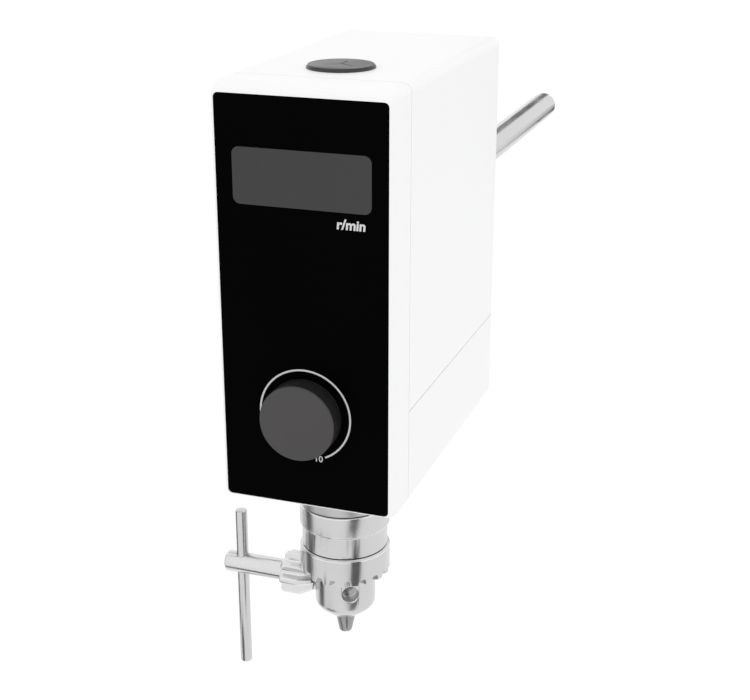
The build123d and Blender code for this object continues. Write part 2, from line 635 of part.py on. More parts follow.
def board_screws():
    """Four small screws of the control board."""
    length = CONTROL_BOARD_GAP
    screws = []
    for x, z in board_screw_spots():
        head = bar_y(BOARD_POST_RADIUS, BOARD_BACK_Y, BOARD_BACK_Y + BOARD_THICKNESS, x, z)
        screws.append(head + bar_y(BOARD_HOLE_RADIUS / 2, BOARD_BACK_Y - length, BOARD_BACK_Y, x, z))
    return screws


def speed_pot():
    """Potentiometer: can on the board, threaded bush through cover and panel."""
    can = bar_y(POT_RADIUS, INNER_FACE_Y, BOARD_FACE_Y, 0, KNOB_LEVEL)
    can += bar_y(POT_BUSH_RADIUS, -FACE_REACH - POT_BUSH_REACH, INNER_FACE_Y, 0, KNOB_LEVEL)
    return can - bar_y(POT_SHAFT_RADIUS + FIT, -FACE_REACH - 2 * POT_BUSH_REACH,
                       BOARD_FACE_Y - BOARD_THICKNESS, 0, KNOB_LEVEL)


def pot_nut():
    """Hexagon nut that holds the potentiometer, under the knob."""
    hexagon = RegularPolygon(POT_NUT_WIDTH / 2, 6, major_radius=False)
    nut = extrude(Plane.XZ.offset(FACE_REACH) * Pos(0, KNOB_LEVEL) * hexagon, POT_NUT_THICKNESS)
    return nut - bar_y(POT_BUSH_RADIUS, -FACE_REACH - 2 * POT_NUT_THICKNESS, 0, 0, KNOB_LEVEL)


def knob_shaft():
    """Shaft of the potentiometer, flattened where the knob grips it."""
    tip = KNOB_FACE_Y + KNOB_FACE
    shaft = bar_y(POT_SHAFT_RADIUS, tip, BOARD_FACE_Y - BOARD_THICKNESS - RUN, 0, KNOB_LEVEL)
    flat_back = -FACE_REACH - POT_BUSH_REACH - RUN
    return shaft - brick(-POT_SHAFT_RADIUS, POT_SHAFT_RADIUS, tip - WALL, flat_back,
                         KNOB_LEVEL + POT_SHAFT_FLAT, KNOB_LEVEL + 2 * POT_SHAFT_RADIUS)


def speed_knob():
    """Round knob: hollow skirt, hub with a D-shaped bore, fine groove behind the face."""
    back = KNOB_GAP
    front = KNOB_REACH
    groove = front - KNOB_GROOVE_BACK
    skirt = KNOB_RADIUS - KNOB_SHELL
    floor = front - KNOB_FACE
    hub_back = POT_BUSH_REACH + KNOB_GAP
    knob = turned((0, floor), (KNOB_HUB_RADIUS, floor), (skirt, floor), (skirt, back), (KNOB_RADIUS, back),
                  (KNOB_RADIUS, groove - KNOB_GROOVE), (KNOB_RADIUS - KNOB_GROOVE, groove - KNOB_GROOVE),
                  (KNOB_RADIUS - KNOB_GROOVE, groove), (KNOB_RADIUS, groove),
                  (KNOB_RADIUS, front - KNOB_EDGE), (KNOB_RADIUS - KNOB_EDGE, front), (0, front))
    hub_top = floor + SEAT
    knob += turned((0, hub_back), (KNOB_HUB_RADIUS, hub_back), (KNOB_HUB_RADIUS, hub_top), (0, hub_top))
    bore = bar_z(POT_SHAFT_RADIUS, 0, floor)
    bore -= brick(-KNOB_RADIUS, KNOB_RADIUS, POT_SHAFT_FLAT, KNOB_RADIUS, 0, front)
    return Pos(0, -FACE_REACH, KNOB_LEVEL) * Rot(90, 0, 0) * (knob - bore)


def shaft_cap():
    """Rubber cap with three slits, through which a long stirring shaft can pass."""
    top = HOUSING_HEIGHT + CAP_HEIGHT
    inner = CAP_PLUG_RADIUS - CAP_PLUG_WALL
    foot = HOUSING_HEIGHT - CAP_PLUG_DEPTH
    step = HOUSING_HEIGHT + CAP_STEP
    cap = turned((0, HOUSING_HEIGHT), (inner, HOUSING_HEIGHT), (inner, foot), (CAP_PLUG_RADIUS, foot),
                 (CAP_PLUG_RADIUS, HOUSING_HEIGHT), (CAP_LIP_RADIUS, HOUSING_HEIGHT),
                 (CAP_LIP_RADIUS, step), (CAP_TOP_RADIUS, step), (CAP_TOP_RADIUS, top), (0, top))
    slit = brick(-CAP_SLIT_WIDTH / 2, CAP_SLIT_WIDTH / 2, 0, CAP_SLIT_LENGTH,
                 HOUSING_HEIGHT - WALL, top + WALL)
    return cap - around_z(slit, 3)


def support_rod():
    """Steel rod whose turned-down end seats in the chassis boss up to its shoulder."""
    rod = bar_y(ROD_RADIUS, REAR_REACH, REAR_REACH + ROD_LENGTH, ROD_X, ROD_LEVEL)
    rod = chamfer(rod.faces().sort_by(Axis.Y)[-1].edges(), ROD_CHAMFER)
    seat_end = REAR_REACH - ROD_SEAT_LENGTH
    seat = bar_y(ROD_SEAT_RADIUS, seat_end, REAR_REACH, ROD_X, ROD_LEVEL)
    return rod + chamfer(seat.faces().sort_by(Axis.Y)[0].edges(), ROD_CHAMFER)


def rod_screw():
    """Set screw that bears on the rod from above."""
    foot = ROD_LEVEL + ROD_SEAT_RADIUS
    y = REAR_REACH - 2 * ROD_SEAT_LENGTH / 3
    screw = bar_z(ROD_SCREW_RADIUS, foot, foot + ROD_SCREW_LENGTH, ROD_X, y)
    socket_floor = foot + ROD_SCREW_LENGTH - ROD_SCREW_SOCKET
    socket = Pos(ROD_X, y, socket_floor) * RegularPolygon(ROD_SCREW_RADIUS / 2, 6)
    return screw - extrude(socket, 2 * ROD_SCREW_SOCKET)


def base_plate():
    """Plate in the foot that carries the bearing nose and both shells' screws."""
    half = CHASSIS_WIDTH / 2
    front = -CHASSIS_FRONT
    plate = brick(-half, half, front, REAR_PLATE_BACK, BASE_PLATE_LEVEL, BASE_PLATE_TOP)
    plate -= bar_z(NOSE_RADIUS + SEAT, 0, BASE_PLATE_TOP + WALL)
    for x, y in base_screw_spots() + flange_screw_spots():
        plate -= bar_z(SCREW_RADIUS, 0, BASE_PLATE_TOP + WALL, x, y)
    for x, z in cover_screw_spots():
        plate -= bar_y(SCREW_RADIUS, front - WALL, front + SCREW_GRIP, x, z)
    return plate


def bearing_plate():
    """Plate above the motor: seat of the upper bearing, with the motor hung below it."""
    half = CHASSIS_WIDTH / 2
    front = -CHASSIS_FRONT
    plate = brick(-half, half, front, REAR_PLATE_FRONT - SEAT, TOP_PLATE_LEVEL, TOP_PLATE_TOP)
    plate += bar_z(BEARING_BOSS_RADIUS, UPPER_BEARING_LEVEL - BEARING_LIP, TOP_PLATE_LEVEL + WALL)
    plate -= bar_z(BEARING_RADIUS, UPPER_BEARING_LEVEL, TOP_PLATE_TOP + WALL)
    plate -= bar_z(SHIELD_OUTER, UPPER_BEARING_LEVEL - 2 * BEARING_LIP, TOP_PLATE_TOP)
    plate -= bar_z(MOTOR_SPIGOT_RADIUS + SEAT, TOP_PLATE_LEVEL - WALL, TOP_PLATE_TOP + WALL, 0, MOTOR_BACK)
    for x, y in motor_screw_spots():
        plate -= bar_z(SCREW_RADIUS + SEAT, TOP_PLATE_LEVEL - WALL, TOP_PLATE_TOP + WALL, x, y)
    for x, z in cover_screw_spots():
        plate -= bar_y(SCREW_RADIUS, front - WALL, front + SCREW_GRIP, x, z)
    return plate


def chassis():
    """Cast rear frame on the base plate: rod boss, rib, and gussets under the bearing plate."""
    half = CHASSIS_WIDTH / 2
    foot = BASE_PLATE_TOP + SEAT
    frame = brick(-half, half, REAR_PLATE_FRONT, REAR_PLATE_BACK, foot, REAR_PLATE_TOP)
    window_half = half - GUSSET_THICKNESS
    frame -= brick(-window_half, window_half, REAR_PLATE_FRONT - WALL, REAR_PLATE_BACK + WALL,
                   BASE_PLATE_TOP, SPLIT_HEIGHT)
    gusset_top = TOP_PLATE_LEVEL - SEAT
    gusset_foot = foot + GUSSET_RISE
    gusset = Polyline((REAR_PLATE_BACK, gusset_top), (REAR_PLATE_FRONT - GUSSET_REACH, gusset_top),
                      (REAR_PLATE_FRONT, gusset_foot), (REAR_PLATE_BACK, gusset_foot), close=True)
    for inner in (-half, window_half):
        frame += extrude(Plane.YZ.offset(inner) * make_face(gusset), GUSSET_THICKNESS)
    frame -= bar_z(MOTOR_RADIUS + MOTOR_RELIEF, BASE_PLATE_TOP, TOP_PLATE_LEVEL, 0, MOTOR_BACK)
    boss_front = REAR_REACH - ROD_SEAT_LENGTH - WALL
    frame += bar_y(ROD_BOSS_RADIUS, boss_front, REAR_INNER - SEAT, ROD_X, ROD_LEVEL)
    frame += bar_y(ROD_NECK_RADIUS, boss_front, REAR_REACH, ROD_X, ROD_LEVEL)
    rib_half = GUSSET_THICKNESS
    frame += brick(ROD_X - rib_half, ROD_X + rib_half, boss_front, REAR_PLATE_FRONT + WALL,
                   TOP_PLATE_TOP + SEAT, ROD_LEVEL - ROD_RADIUS - WALL)
    for x, z in rear_screw_spots():
        frame += bar_y(SCREW_POST_RADIUS, REAR_PLATE_FRONT, REAR_INNER - SEAT, x, z)
        frame -= bar_y(SCREW_RADIUS, REAR_REACH - SCREW_GRIP - WALL, REAR_REACH, x, z)
    frame -= bar_y(ROD_SEAT_RADIUS + FIT, REAR_REACH - ROD_SEAT_LENGTH, REAR_REACH + WALL, ROD_X, ROD_LEVEL)
    frame -= bar_z(ROD_SCREW_RADIUS, ROD_LEVEL, ROD_LEVEL + 2 * ROD_BOSS_RADIUS, ROD_X,
                   REAR_REACH - 2 * ROD_SEAT_LENGTH / 3)
    return frame


def motor_screw_spots():
    """Screws that hang the motor from the top plate."""
    arm = MOTOR_SCREW_CIRCLE
    spots = []
    for i in range(MOTOR_SCREWS):
        angle = radians(45 + 360 / MOTOR_SCREWS * i)
        spots.append((arm * cos(angle), MOTOR_BACK + arm * sin(angle)))
    return spots


def flange_screw_spots():
    """Screws of the bearing housing's flange."""
    spots = []
    for i in range(FLANGE_SCREWS):
        angle = radians(90 + 360 / FLANGE_SCREWS * i)
        spots.append((FLANGE_SCREW_CIRCLE * cos(angle), FLANGE_SCREW_CIRCLE * sin(angle)))
    return spots


def bearing_housing():
    """Turned nose that drops through the base, with a flange above the base plate."""
    floor = -NOSE_DROP
    seat = LOWER_BEARING_LEVEL
    flange_top = BASE_PLATE_TOP + NOSE_FLANGE_THICKNESS
    opening = SPINDLE_RADIUS + 2 * RUN
    housing = turned((opening, floor), (NOSE_RADIUS - SMALL_RADIUS, floor),
                     (NOSE_RADIUS, floor + SMALL_RADIUS), (NOSE_RADIUS, BASE_PLATE_TOP),
                     (NOSE_FLANGE_RADIUS, BASE_PLATE_TOP),
                     (NOSE_FLANGE_RADIUS, flange_top), (BEARING_RADIUS, flange_top),
                     (BEARING_RADIUS, seat), (opening, seat))
    for x, y in flange_screw_spots():
        housing -= bar_z(SCREW_RADIUS + SEAT, 0, flange_top + WALL, x, y)
    return housing


def ball_bearing(level):
    """Shielded ball bearing, drawn with its rings and shields as one turned body."""
    inner = SPINDLE_RADIUS + FIT
    top = level + BEARING_WIDTH
    return turned((inner, level), (SHIELD_INNER, level), (SHIELD_INNER, level + SHIELD_DEPTH),
                  (SHIELD_OUTER, level + SHIELD_DEPTH), (SHIELD_OUTER, level), (BEARING_RADIUS, level),
                  (BEARING_RADIUS, top), (SHIELD_OUTER, top), (SHIELD_OUTER, top - SHIELD_DEPTH),
                  (SHIELD_INNER, top - SHIELD_DEPTH), (SHIELD_INNER, top), (inner, top))


def bearing_retainer():
    """Ring above the lower bearing that keeps it on its floor."""
    base = LOWER_BEARING_LEVEL + BEARING_WIDTH
    inner = BEARING_RADIUS - RETAINER_WIDTH
    top = base + RETAINER_HEIGHT
    return turned((inner, base), (BEARING_RADIUS, base), (BEARING_RADIUS, top), (inner, top))


def hollow_spindle():
    """Hollow spindle: tail for the chuck, collar over the lower bearing, neck for the pulley."""
    collar = LOWER_BEARING_LEVEL + BEARING_WIDTH + RUN
    collar_top = collar + SPINDLE_COLLAR_HEIGHT
    tail = -CHUCK_TOP - TAIL_SEAT_DEPTH
    return turned((SPINDLE_BORE, tail), (SPINDLE_TAIL_RADIUS, tail), (SPINDLE_TAIL_RADIUS, -CHUCK_TOP),
                  (SPINDLE_RADIUS, -CHUCK_TOP), (SPINDLE_RADIUS, collar), (SPINDLE_COLLAR_RADIUS, collar),
                  (SPINDLE_COLLAR_RADIUS, collar_top), (SPINDLE_RADIUS, collar_top),
                  (SPINDLE_RADIUS, SHOULDER_LEVEL), (SPINDLE_NECK_RADIUS, SHOULDER_LEVEL),
                  (SPINDLE_NECK_RADIUS, SPINDLE_TOP), (SPINDLE_BORE, SPINDLE_TOP))


def ribbed_rim(radius):
    """Corners of a pulley's rim from its base up: flange, V ribs, flange."""
    pitch = BELT_WIDTH / BELT_RIBS
    corners = [(radius + PULLEY_FLANGE, PULLEY_BASE), (radius + PULLEY_FLANGE, BELT_LEVEL - RUN),
               (radius, BELT_LEVEL - RUN), (radius, BELT_LEVEL)]
    for i in range(BELT_RIBS):
        level = BELT_LEVEL + i * pitch
        corners += [(radius - RIB_DEPTH, level + pitch / 2), (radius, level + pitch)]
    return corners + [(radius, BELT_TOP + RUN), (radius + PULLEY_FLANGE, BELT_TOP + RUN),
                      (radius + PULLEY_FLANGE, PULLEY_TOP)]


def driven_pulley():
    """Large pulley on the spindle, lightened by a ring of holes."""
    rim = SPINDLE_PULLEY_RADIUS - PULLEY_WEB
    web_base = (PULLEY_BASE + PULLEY_TOP - PULLEY_WEB) / 2
    web_top = web_base + PULLEY_WEB
    bore = SPINDLE_NECK_RADIUS
    pulley = turned((bore, SHOULDER_LEVEL), (HUB_RADIUS, SHOULDER_LEVEL), (HUB_RADIUS, web_base),
                    (rim, web_base), (rim, PULLEY_BASE), *ribbed_rim(SPINDLE_PULLEY_RADIUS),
                    (rim, PULLEY_TOP), (rim, web_top), (HUB_RADIUS, web_top), (HUB_RADIUS, PULLEY_TOP),
                    (bore, PULLEY_TOP))
    radius = min(PULLEY_HOLE_RADIUS, (rim - HUB_RADIUS) / 2 - SMALL_RADIUS)
    hole = bar_z(radius, web_base - WALL, web_top + WALL, (rim + HUB_RADIUS) / 2)
    return pulley - around_z(hole, PULLEY_HOLES)


def spindle_nut():
    """Slotted nut that clamps the pulley on the spindle."""
    base = PULLEY_TOP
    nut = turned((SPINDLE_NECK_RADIUS, base), (NUT_RADIUS, base), (NUT_RADIUS, base + NUT_HEIGHT),
                 (SPINDLE_NECK_RADIUS, base + NUT_HEIGHT))
    slot = brick(NUT_RADIUS - NUT_SLOT / 2, NUT_RADIUS + NUT_SLOT, -NUT_SLOT / 2, NUT_SLOT / 2,
                 base - WALL, base + NUT_HEIGHT + WALL)
    return nut - around_z(slot, NUT_SLOTS)


def sensor_disc():
    """Slotted disc on the spindle, read by the speed sensor."""
    level = UPPER_BEARING_LEVEL - BEARING_LIP - DISC_DROP
    hub_base = level - DISC_HUB_HEIGHT / 2
    hub_top = level + DISC_HUB_HEIGHT / 2
    disc = turned((SPINDLE_RADIUS, hub_base), (DISC_HUB_RADIUS, hub_base), (DISC_HUB_RADIUS, level),
                  (DISC_RADIUS, level), (DISC_RADIUS, level + DISC_THICKNESS),
                  (DISC_HUB_RADIUS, level + DISC_THICKNESS), (DISC_HUB_RADIUS, hub_top),
                  (SPINDLE_RADIUS, hub_top))
    slot = brick(DISC_RADIUS - DISC_SLOT_DEPTH, DISC_RADIUS + WALL, -DISC_SLOT_WIDTH / 2,
                 DISC_SLOT_WIDTH / 2, level - WALL, level + WALL)
    return disc - around_z(slot, DISC_SLOTS)


def speed_sensor():
    """Forked sensor that hangs from the top plate, in front of the bearing boss."""
    level = UPPER_BEARING_LEVEL - BEARING_LIP - DISC_DROP + DISC_THICKNESS / 2
    back = -DISC_RADIUS + SENSOR_OVERLAP
    front = back - SENSOR_DEPTH
    base = level - SENSOR_SLOT * 3 / 2
    boss_edge = -BEARING_BOSS_RADIUS - SEAT
    half = SENSOR_WIDTH / 2
    sensor = brick(-half, half, front, back, base, level + SENSOR_SLOT * 3 / 2)
    sensor -= brick(-SENSOR_WIDTH, SENSOR_WIDTH, -DISC_RADIUS - SENSOR_SLOT / 2, back + WALL,
                    level - SENSOR_SLOT / 2, level + SENSOR_SLOT / 2)
    return sensor + brick(-half, half, front, boss_edge, base, TOP_PLATE_LEVEL)


def at_motor(shape):
    """Piece moved from the spindle axis to the motor axis."""
    return Pos(0, MOTOR_BACK, 0) * shape


def motor_can():
    """Steel can of the motor with its two end plates and the locating spigot."""
    base = MOTOR_BASE
    top = TOP_PLATE_LEVEL
    inner = MOTOR_RADIUS - MOTOR_WALL
    bore = MOTOR_SHAFT_RADIUS + FIT
    can = turned((bore, base), (MOTOR_RADIUS, base), (MOTOR_RADIUS, top), (MOTOR_SPIGOT_RADIUS, top),
                 (MOTOR_SPIGOT_RADIUS, top + MOTOR_SPIGOT_HEIGHT), (bore, top + MOTOR_SPIGOT_HEIGHT),
                 (bore, top - MOTOR_END), (inner, top - MOTOR_END), (inner, base + MOTOR_END),
                 (bore, base + MOTOR_END))
    can = at_motor(can)
    for x, y in motor_screw_spots():
        can -= bar_z(SCREW_RADIUS, top - MOTOR_END - WALL, top + WALL, x, y)
    return can


def magnet_levels():
    """Lower and upper end of the magnets, centred in the can."""
    middle = MOTOR_BASE + MOTOR_LENGTH / 2
    return middle - MAGNET_LENGTH / 2, middle + MAGNET_LENGTH / 2


def motor_magnets():
    """Two field magnets against the wall of the can."""
    base, top = magnet_levels()
    outer = MOTOR_RADIUS - MOTOR_WALL
    inner = outer - MAGNET_THICKNESS
    ring = turned((inner, base), (outer, base), (outer, top), (inner, top))
    gap = brick(-MAGNET_THICKNESS, MAGNET_THICKNESS, -MOTOR_RADIUS, MOTOR_RADIUS, base - WALL, top + WALL)
    return [at_motor(half) for half in (ring - gap).solids()]


def motor_rotor():
    """Slotted iron core on the motor shaft."""
    base, top = magnet_levels()
    radius = MOTOR_RADIUS - MOTOR_WALL - MAGNET_THICKNESS - AIR_GAP
    core = turned((MOTOR_SHAFT_RADIUS, base), (radius, base), (radius, top), (MOTOR_SHAFT_RADIUS, top))
    slot = brick(radius - ROTOR_SLOT_DEPTH, radius + WALL, -ROTOR_SLOT_WIDTH / 2, ROTOR_SLOT_WIDTH / 2,
                 base - WALL, top + WALL)
    return at_motor(core - around_z(slot, ROTOR_SLOTS))


def motor_shaft():
    """Shaft from the lower end plate up through the pulley."""
    return bar_z(MOTOR_SHAFT_RADIUS, MOTOR_BASE, PULLEY_TOP, 0, MOTOR_BACK)


def motor_pulley():
    """Small pulley with the hub that its grub screw sits in."""
    hub = MOTOR_PULLEY_RADIUS - RIB_DEPTH
    hub_base = TOP_PLATE_TOP + 2 * SCREW_HEAD_HEIGHT
    pulley = turned((MOTOR_SHAFT_RADIUS, hub_base), (hub, hub_base), (hub, PULLEY_BASE),
                    *ribbed_rim(MOTOR_PULLEY_RADIUS), (MOTOR_SHAFT_RADIUS, PULLEY_TOP))
    return at_motor(pulley)


def belt_loop(grow):
    """Outline of the belt at a distance from both pulleys."""
    large = CenterArc((0, 0), SPINDLE_PULLEY_RADIUS + grow, 0, 360)
    small = CenterArc((0, MOTOR_BACK), MOTOR_PULLEY_RADIUS + grow, 0, 360)
    return make_hull([large, small])


def drive_belt():
    """Ribbed belt, drawn as a smooth band so that it stands still beside the pulleys."""
    band = belt_loop(RUN + BELT_THICKNESS) - belt_loop(RUN)
    return extrude(Pos(0, 0, BELT_LEVEL) * band, BELT_WIDTH)


def power_board():
    """Mains board: copper board, transformer, capacitors, heat sink and plug."""
    top = POWER_BOARD_LEVEL + BOARD_THICKNESS
    half = POWER_BOARD_WIDTH / 2
    depth = POWER_BOARD_BACK - POWER_BOARD_FRONT
    board = brick(-half, half, POWER_BOARD_FRONT, POWER_BOARD_BACK, POWER_BOARD_LEVEL, top)
    for x, y in pillar_spots():
        board -= bar_z(SCREW_RADIUS, POWER_BOARD_LEVEL - WALL, top + WALL, x, y)
    middle = POWER_BOARD_FRONT + depth / 2
    core = WINDOW_HEIGHT / 2
    board += brick(-core, core, middle, middle + 2 * core, top, top + core + WALL)
    for i in range(2):
        x = (i - 0.5) * 2 * PLUG_HEIGHT
        board += bar_z(PLUG_HEIGHT - WALL / 2, top, top + 2 * PLUG_HEIGHT, x, middle - core)
    sink_x = half - 2 * WALL - PLUG_HEIGHT
    board += brick(sink_x, sink_x + WALL, middle - 2 * core, middle, top, top + 3 * PLUG_HEIGHT)
    for i in range(4):
        y = middle - 2 * core + (i + 0.5) * core / 2
        board += brick(sink_x, sink_x + PLUG_HEIGHT, y, y + WALL / 2, top, top + 3 * PLUG_HEIGHT)
    return board + brick(RIBBON_X - RIBBON_WIDTH / 2, RIBBON_X + RIBBON_WIDTH / 2 + WALL,
                         POWER_BOARD_FRONT, POWER_BOARD_FRONT + PLUG_DEPTH, top, top + PLUG_HEIGHT / 2)


def board_pillars():
    """Four hexagon pillars under the mains board, each with the screw that holds it."""
    pillars = []
    for x, y in pillar_spots():
        post = extrude(Pos(x, y, TOP_PLATE_TOP) * RegularPolygon(PILLAR_RADIUS, 6),
                       POWER_BOARD_LEVEL - TOP_PLATE_TOP)
        pillars.append(post + cap_screw_z(x, y, POWER_BOARD_LEVEL + BOARD_THICKNESS, 2 * BOARD_THICKNESS))
    return pillars


def ribbon_cable():
    """Flat cable from the control board to the mains board."""
    start = BOARD_BACK_Y + PLUG_DEPTH
    end_level = POWER_BOARD_LEVEL + BOARD_THICKNESS + PLUG_HEIGHT / 4
    end = POWER_BOARD_FRONT
    route = FilletPolyline((start, RIBBON_LEVEL), ((2 * start + end) / 3, RIBBON_LEVEL),
                           ((start + 2 * end) / 3, end_level), (end, end_level), radius=RIBBON_BEND)
    path = Plane.YZ * route
    section = Plane((0, start, RIBBON_LEVEL), x_dir=(1, 0, 0), z_dir=(0, 1, 0)) * Rectangle(
        RIBBON_WIDTH, RIBBON_THICKNESS)
    return Pos(RIBBON_X, 0, 0) * sweep(section, path)


def power_inlet():
    """Three-pin mains inlet, pushed through the rear wall."""
    face = REAR_REACH + INLET_FLANGE_THICKNESS
    back = REAR_REACH - INLET_DEPTH
    inlet = slab(INLET_WIDTH, INLET_HEIGHT, back, REAR_REACH, INLET_X, INLET_LEVEL)
    inlet += slab(INLET_WIDTH + 2 * INLET_FLANGE, INLET_HEIGHT + 2 * INLET_FLANGE, REAR_REACH, face,
                  INLET_X, INLET_LEVEL, SMALL_RADIUS * 2)
    opening = Rectangle(SOCKET_WIDTH, SOCKET_HEIGHT)
    opening = chamfer(opening.vertices().group_by(Axis.Y)[-1], SOCKET_CORNER)
    socket = Plane.XZ.offset(-face) * Pos(INLET_X, INLET_LEVEL) * opening
    inlet -= extrude(socket, SOCKET_DEPTH)
    floor = face - SOCKET_DEPTH
    for offset, rise in ((-PIN_PITCH, -PIN_RISE), (0, PIN_RISE), (PIN_PITCH, -PIN_RISE)):
        x = INLET_X + offset
        z = INLET_LEVEL + rise
        inlet += slab(PIN_WIDTH, PIN_HEIGHT, floor - SEAT, floor + PIN_LENGTH, x, z)
        inlet += slab(PIN_HEIGHT, PIN_WIDTH / 2, back - PIN_HEIGHT, back, x, z)
    return inlet


def switch_frame():
    """Frame of the rocker switch: a snap-in box with bearing holes for the rocker."""
    face = REAR_REACH + INLET_FLANGE_THICKNESS
    frame = slab(SWITCH_WIDTH, SWITCH_HEIGHT, REAR_REACH - SWITCH_DEPTH, REAR_REACH, SWITCH_X, INLET_LEVEL)
    frame += slab(SWITCH_WIDTH + 2 * SWITCH_WALL, SWITCH_HEIGHT + 2 * SWITCH_WALL, REAR_REACH, face,
                  SWITCH_X, INLET_LEVEL, SMALL_RADIUS * 2)
    pocket_half = ROCKER_LENGTH + ROCKER_CROWN * sin(radians(ROCKER_TILT)) + RUN
    floor = ROCKER_PIVOT_Y - ROCKER_KEEL - 2 * RUN
    width = SWITCH_WIDTH - 2 * SWITCH_WALL
    frame -= slab(width, 2 * pocket_half, floor, face + WALL, SWITCH_X, INLET_LEVEL)
    hole = Pos(SWITCH_X, ROCKER_PIVOT_Y, INLET_LEVEL) * Rot(0, 90, 0)
    return frame - hole * Cylinder(ROCKER_PIN_RADIUS + FIT, width + 2 * ROCKER_PIN_REACH + 2 * RUN)


def power_rocker():
    """Rocker with a dished face, tipped to its off side."""
    width = SWITCH_WIDTH - 2 * SWITCH_WALL - 2 * RUN
    outline = Polyline((-ROCKER_LENGTH, ROCKER_DISH / 2), (-ROCKER_LENGTH, ROCKER_CROWN), (0, ROCKER_DISH),
                       (ROCKER_LENGTH, ROCKER_CROWN), (ROCKER_LENGTH, ROCKER_DISH / 2),
                       (ROCKER_KEEL, -ROCKER_KEEL / 2), (-ROCKER_KEEL, -ROCKER_KEEL / 2), close=True)
    paddle = extrude(Plane.YZ * Rot(0, 0, -90) * make_face(outline), width / 2, both=True)
    pin = Rot(0, 90, 0) * Cylinder(ROCKER_PIN_RADIUS, width + 2 * ROCKER_PIN_REACH)
    rocker = Rot(ROCKER_TILT, 0, 0) * (paddle + pin)
    return Pos(SWITCH_X, ROCKER_PIVOT_Y, INLET_LEVEL) * rocker


def cover_screws():
    """Screws of the front cover, under the panel."""
    return [screw_y(x, z, POCKET_Y + SCREW_HEAD_HEIGHT, SCREW_GRIP - CHASSIS_FRONT - POCKET_Y - WALL, True)
            for x, z in cover_screw_spots()]


def rear_screws():
    """Screws through the rear wall into the chassis."""
    return [screw_y(x, z, REAR_REACH, SCREW_GRIP, False) for x, z in rear_screw_spots()]


def base_screws():
    """Screws through the floor into the base plate, heads in their counterbores."""
    screws = []
    for x, y in base_screw_spots():
        screw = cap_screw_z(x, -y, 0, SCREW_GRIP)
        screws.append(Pos(0, 0, SCREW_HEAD_HEIGHT) * Rot(180, 0, 0) * screw)
    return screws


def motor_screws():
    """Screws through the top plate into the motor."""
    length = TOP_PLATE_THICKNESS + MOTOR_END
    return [cap_screw_z(x, y, TOP_PLATE_TOP, length) for x, y in motor_screw_spots()]


def flange_screws():
    """Screws that hold the bearing housing to the base plate."""
    seat = BASE_PLATE_TOP + NOSE_FLANGE_THICKNESS
    return [cap_screw_z(x, y, seat, SCREW_GRIP) for x, y in flange_screw_spots()]


def jaw_line_radius(depth):
    """Distance of a jaw's axis from the spindle axis at a depth, with the jaws closed."""
    return JAW_TIP_OFFSET + (JAW_TIP - depth) * JAW_SLOPE


def along_jaw(radius, start, end):
    """Cylinder on the jaw line of the first jaw, between two distances above its tip."""
    placed = Pos(JAW_TIP_OFFSET, 0, -JAW_TIP) * Rot(0, JAW_TILT, 0)
    return placed * Pos(0, 0, (start + end) / 2) * Cylinder(radius, end - start)


def jaw(number):
    """One jaw: a round bar whose inner side is cut to a third of the grip."""
    body = along_jaw(JAW_RADIUS, -JAW_RADIUS, JAW_LENGTH)
    top = body.faces().sort_by(Axis.Z)[-1].edges()
    body = chamfer(top, JAW_ROUND)
    reach = 2 * NOSE_RADIUS
    half_angle = tan(pi / JAWS)
    near = (GRIP_FLAT - GRIP_CLEARANCE) * half_angle
    far = (reach - GRIP_CLEARANCE) * half_angle
    sector = Polyline((GRIP_FLAT, -near), (reach, -far), (reach, far), (GRIP_FLAT, near), close=True)
    body = body & extrude(Pos(0, 0, -JAW_TIP) * make_face(sector), JAW_TIP)
    foot = body.faces().sort_by(Axis.Z)[0].edges().sort_by(Axis.X)[-1]
    body = fillet(foot, JAW_ROUND)
    return Rot(0, 0, 360 / JAWS * number) * body


